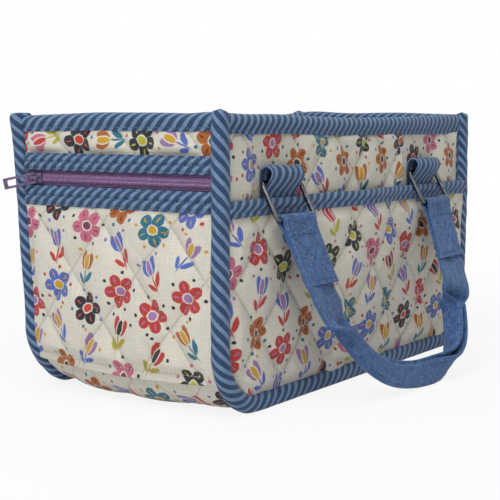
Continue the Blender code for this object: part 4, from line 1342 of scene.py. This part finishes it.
def makeHandle(side):
    route, legCount = strapRoute()
    count = len(route)
    runs = routeRuns(route)
    frames = strapFrames(route, legCount, runs)
    bar = pivots[sideNames[side] + "_handle_swing"]
    lean = math.acos(bar.z / handle["drop"])
    outward = Vector((0.0, side * math.cos(lean), math.sin(lean)))
    upward = Vector((0.0, -side * math.sin(lean), math.cos(lean)))
    origin = Vector((handle["shift"], bar.y, bar.z))
    steps = 2 * handle["across"] + 1
    legSteps = handle["legSteps"]
    thick = handle["thickness"] / 2

    def strapPoint(index, step, away):
        here, acrossWay, openWay, points, level = frames[index]
        point, slope = points[step]
        flatX = point.x - math.sin(slope) * away
        flatY = point.y - level + math.cos(slope) * away
        local = here + acrossWay * flatX + openWay * flatY
        rateRun, rateStep = handle["sagRate"]
        sag = handle["sag"] * noise.noise(Vector((runs[index] * rateRun, step * rateStep, side)))
        if min(index, count - 1 - index) <= legSteps:
            sag -= sewnDown(point.x, -here.z)
        return origin + Vector((local.x, 0, 0)) + outward * (local.y + sag) + upward * local.z

    around = []
    for step in range(steps):
        around.append((step, thick * (handle["edgeThin"] if step in (0, steps - 1) else 1.0)))
    around += [(step, -away) for step, away in reversed(around)]

    def place(a, b):
        return strapPoint(round(a * (count - 1)), *around[round(b * len(around)) % len(around)])

    def cut(a, b):
        return (round(b * len(around)) % len(around) * handle["width"] / steps, runs[round(a * (count - 1))])

    name = sideNames[side] + "_handle"
    shape = clothGrid(count - 1, len(around), place, cut, closed=True)
    finished(shape, name + "_strap", name, "chambray", [name])

    # topstitching by both edges on the outer face, and a box with a cross on each lap
    threads = bmesh.new()
    for step in (handle["edgeSteps"], steps - 1 - handle["edgeSteps"]):
        rowRoute = []
        for index in range(count):
            here = strapPoint(index, step, -thick)
            rowRoute.append((here, (here - strapPoint(index, step, thick)).normalized()))
        sewRow(threads, rowRoute)

    def lapSpot(mirrored, across, fall):
        share = (handle["lap"] - fall) / (handle["lap"] - handle["neck"]) * legSteps
        low = min(legSteps - 1, max(0, int(share)))
        step = (across / handle["width"] + 0.5) * (steps - 1)
        lowStep = min(steps - 2, max(0, int(step)))
        ends = []
        for index in (count - 1 - low, count - 2 - low) if mirrored else (low, low + 1):
            near = strapPoint(index, lowStep, -thick)
            ends.append(near.lerp(strapPoint(index, lowStep + 1, -thick), step - lowStep))
        return ends[0].lerp(ends[1], share - low)

    boxHalf = handle["width"] / 2 - handle["boxIn"]
    highLine, lowLine = handle["boxTop"], handle["lap"] - handle["boxLow"]
    corners = [(-boxHalf, highLine), (boxHalf, highLine), (boxHalf, lowLine), (-boxHalf, lowLine)]
    for mirrored in (False, True):
        for start, stop in ((0, 1), (2, 3), (0, 2), (1, 3)):
            rowRoute = []
            for index in range(handle["boxSteps"] + 1):
                share = index / handle["boxSteps"]
                spot = lapSpot(mirrored, mixed(corners[start][0], corners[stop][0], share),
                               mixed(corners[start][1], corners[stop][1], share))
                rowRoute.append((spot, outward))
            sewRow(threads, rowRoute)
    finished(threads, name + "_topstitching", name, "blueThread")


for side in (-1, 1):
    for end, endName in ((-1, "_left"), (1, "_right")):
        makeTab(side, end, sideNames[side] + endName + "_tab")
        makeRing(side, sideNames[side] + endName + "_ring")
    makeHandle(side)
print("tabs, rings and handles made")

# cream stitches of the quilting, short of every binding
quiltRow = {"panelIn": 0.014, "panelUp": 0.004, "pocketIn": 0.013, "pocketUp": 0.014, "stripIn": 0.006,
            "hemUp": 0.002, "hemIn": 0.004, "hemSteps": 80, "under": 0.001}


def makeQuiltStitching():
    shape = bmesh.new()
    for side in (-1, 1):
        quiltRows(shape, lambda u, v: panelSurface(side, u, v), panel["quiltStart"][side],
                  lambda u, v: abs(u) < halfLength - quiltRow["panelIn"],
                  pocketTop + quiltRow["panelUp"], rimTop - rimHeight - quiltRow["under"])
        quiltRows(shape, lambda u, v: pocketSurface(side, u, v), pocket["quiltStart"][side],
                  lambda u, v: abs(u) < halfWidthAt(v, quiltRow["pocketIn"]),
                  quiltRow["pocketUp"], pocketTop - mouth["height"] - quiltRow["under"])
    # zip pocket panel: its map runs down the cloth, so heights turn into falls
    quiltRows(shape, lambda u, v: zipPanelSurface(u, zipPanelTop - v), gusset["quiltStart"],
              lambda u, v: abs(u) < gusset["half"] - quiltRow["stripIn"],
              zipPanelTop - zipPanelLength + zipPanel["hem"] + quiltRow["hemUp"], zipTop - quiltRow["under"])
    hemFall = zipPanelLength - zipPanel["hem"]
    hemHalf = gusset["half"] - quiltRow["hemIn"]
    hemSpots = []
    for step in range(quiltRow["hemSteps"] + 1):
        hemSpots.append(((2.0 * step / quiltRow["hemSteps"] - 1.0) * hemHalf, zipPanelLength * 2 - hemFall))
    sewRow(shape, surfaceRoute(lambda u, v: zipPanelSurface(u, zipPanelLength * 2 - v), hemSpots))
    finished(shape, "quilting_stitches", "bag", "creamThread")


makeQuiltStitching()
print("stitching made")

studio = {
    "world": 0.22,
    "paper": ("#f2f2f2", "#eaeaea"), "paperGrain": 900.0, "radius": 6.0,
    "near": (0.3, 0.86), "far": (0.9, 1.0),  # metres from the bag, and how white the floor looks there
    "aim": (0.0, 0.0, 0.1),
    "lamps": {  # place, size in metres and watts
        "keyFromLeft": ((-1.45, -0.10, 1.60), 0.7, 13.5),
        "fillFromFront": ((-1.10, -1.05, 1.50), 0.7, 8.0),
        "softFromAbove": ((-0.3, -0.3, 2.2), 1.8, 15.0),
        "lowFromLeft": ((-1.50, -0.50, 0.16), 0.6, 3.0),
        "softFromBack": ((1.2, 1.3, 1.5), 1.2, 9.0),
    },
}


def seenDirectly(tree):
    # 1 for what the camera, a mirror or a glass shows of the background, 0 for the light that it sends out
    rays = addNode(tree, "LightPath", {})
    seen = rays.outputs["Is Camera Ray"]
    for ray in ("Is Glossy Ray", "Is Transmission Ray"):
        seen = addNode(tree, "Math", {0: seen, 1: rays.outputs[ray]}, operation="MAXIMUM")
    return seen


def makeFloor():
    # seamless backdrop paper: matt and pale, and it keeps the bag's shadow
    finish, tree, shader = newFinish("paleSeamlessPaper")
    place = addNode(tree, "TexCoord", {}).outputs["Object"]
    fibre = addNode(tree, "TexNoise", {"Vector": place, "Scale": studio["paperGrain"]})
    pale, deep = (ink(colour) for colour in studio["paper"])
    paper = addNode(tree, "Mix", {0: fibre, 6: deep, 7: pale}, data_type="RGBA")
    connect(tree, shader, {"Base Color": paper, "Roughness": 0.9})
    reach = addNode(tree, "VectorMath", {0: place}, operation="LENGTH")
    far = addNode(tree, "MapRange", {
        "Value": reach, "From Min": studio["near"][0], "From Max": studio["far"][0],
        "To Min": studio["near"][1], "To Max": studio["far"][1],
    })
    share = addNode(tree, "Math", {0: seenDirectly(tree), 1: far}, operation="MULTIPLY")
    white = addNode(tree, "Emission", {"Color": (1.0, 1.0, 1.0, 1.0), "Strength": 1.0})
    both = addNode(tree, "MixShader", {0: share, 1: shader, 2: white})
    connect(tree, tree.nodes["Material Output"], {"Surface": both})
    shape = bmesh.new()
    bmesh.ops.create_circle(shape, cap_ends=True, segments=96, radius=studio["radius"])
    mesh = bpy.data.meshes.new("floor")
    shape.to_mesh(mesh)
    shape.free()
    mesh.materials.append(finish)
    floor = bpy.data.objects.new("floor", mesh)
    bpy.context.scene.collection.objects.link(floor)


def makeWorld():
    world = bpy.data.worlds.new("studio")
    world.use_nodes = True
    tree = world.node_tree
    tree.nodes.clear()
    seen = seenDirectly(tree)
    strength = addNode(tree, "MapRange", {"Value": seen, "To Min": studio["world"], "To Max": 1.0})
    shade = addNode(tree, "Background", {"Color": (1.0, 1.0, 1.0, 1.0), "Strength": strength})
    addNode(tree, "OutputWorld", {"Surface": shade})
    bpy.context.scene.world = world


def makeLamps():
    for name, (place, size, watts) in studio["lamps"].items():
        light = bpy.data.lights.new(name, "AREA")
        light.size = size
        light.energy = watts
        lamp = bpy.data.objects.new(name, light)
        lamp.location = place
        toBag = Vector(studio["aim"]) - Vector(place)
        lamp.rotation_euler = toBag.to_track_quat("-Z", "Y").to_euler()
        bpy.context.scene.collection.objects.link(lamp)


view = {  # camera fitted to the bag's corners in the photo: metres, radians and millimetres
    "place": (-0.800191324, -0.551880259, 0.20277615), "yaw": 0.954035397, "pitch": 0.109551787,
    "lens": 82.67, "sensor": 36.0, "clip": 0.01,
}


def makeCamera():
    camera = bpy.data.cameras.new("photoView")
    camera.sensor_width = view["sensor"]
    camera.lens = view["lens"]
    camera.clip_start = view["clip"]
    holder = bpy.data.objects.new("photoView", camera)
    holder.location = view["place"]
    holder.rotation_euler = (math.pi / 2 - view["pitch"], 0.0, -view["yaw"])
    bpy.context.scene.collection.objects.link(holder)
    bpy.context.scene.camera = holder


makeFloor()
makeWorld()
makeLamps()
makeCamera()
bpy.context.scene.view_settings.view_transform = "Standard"
print("studio made")
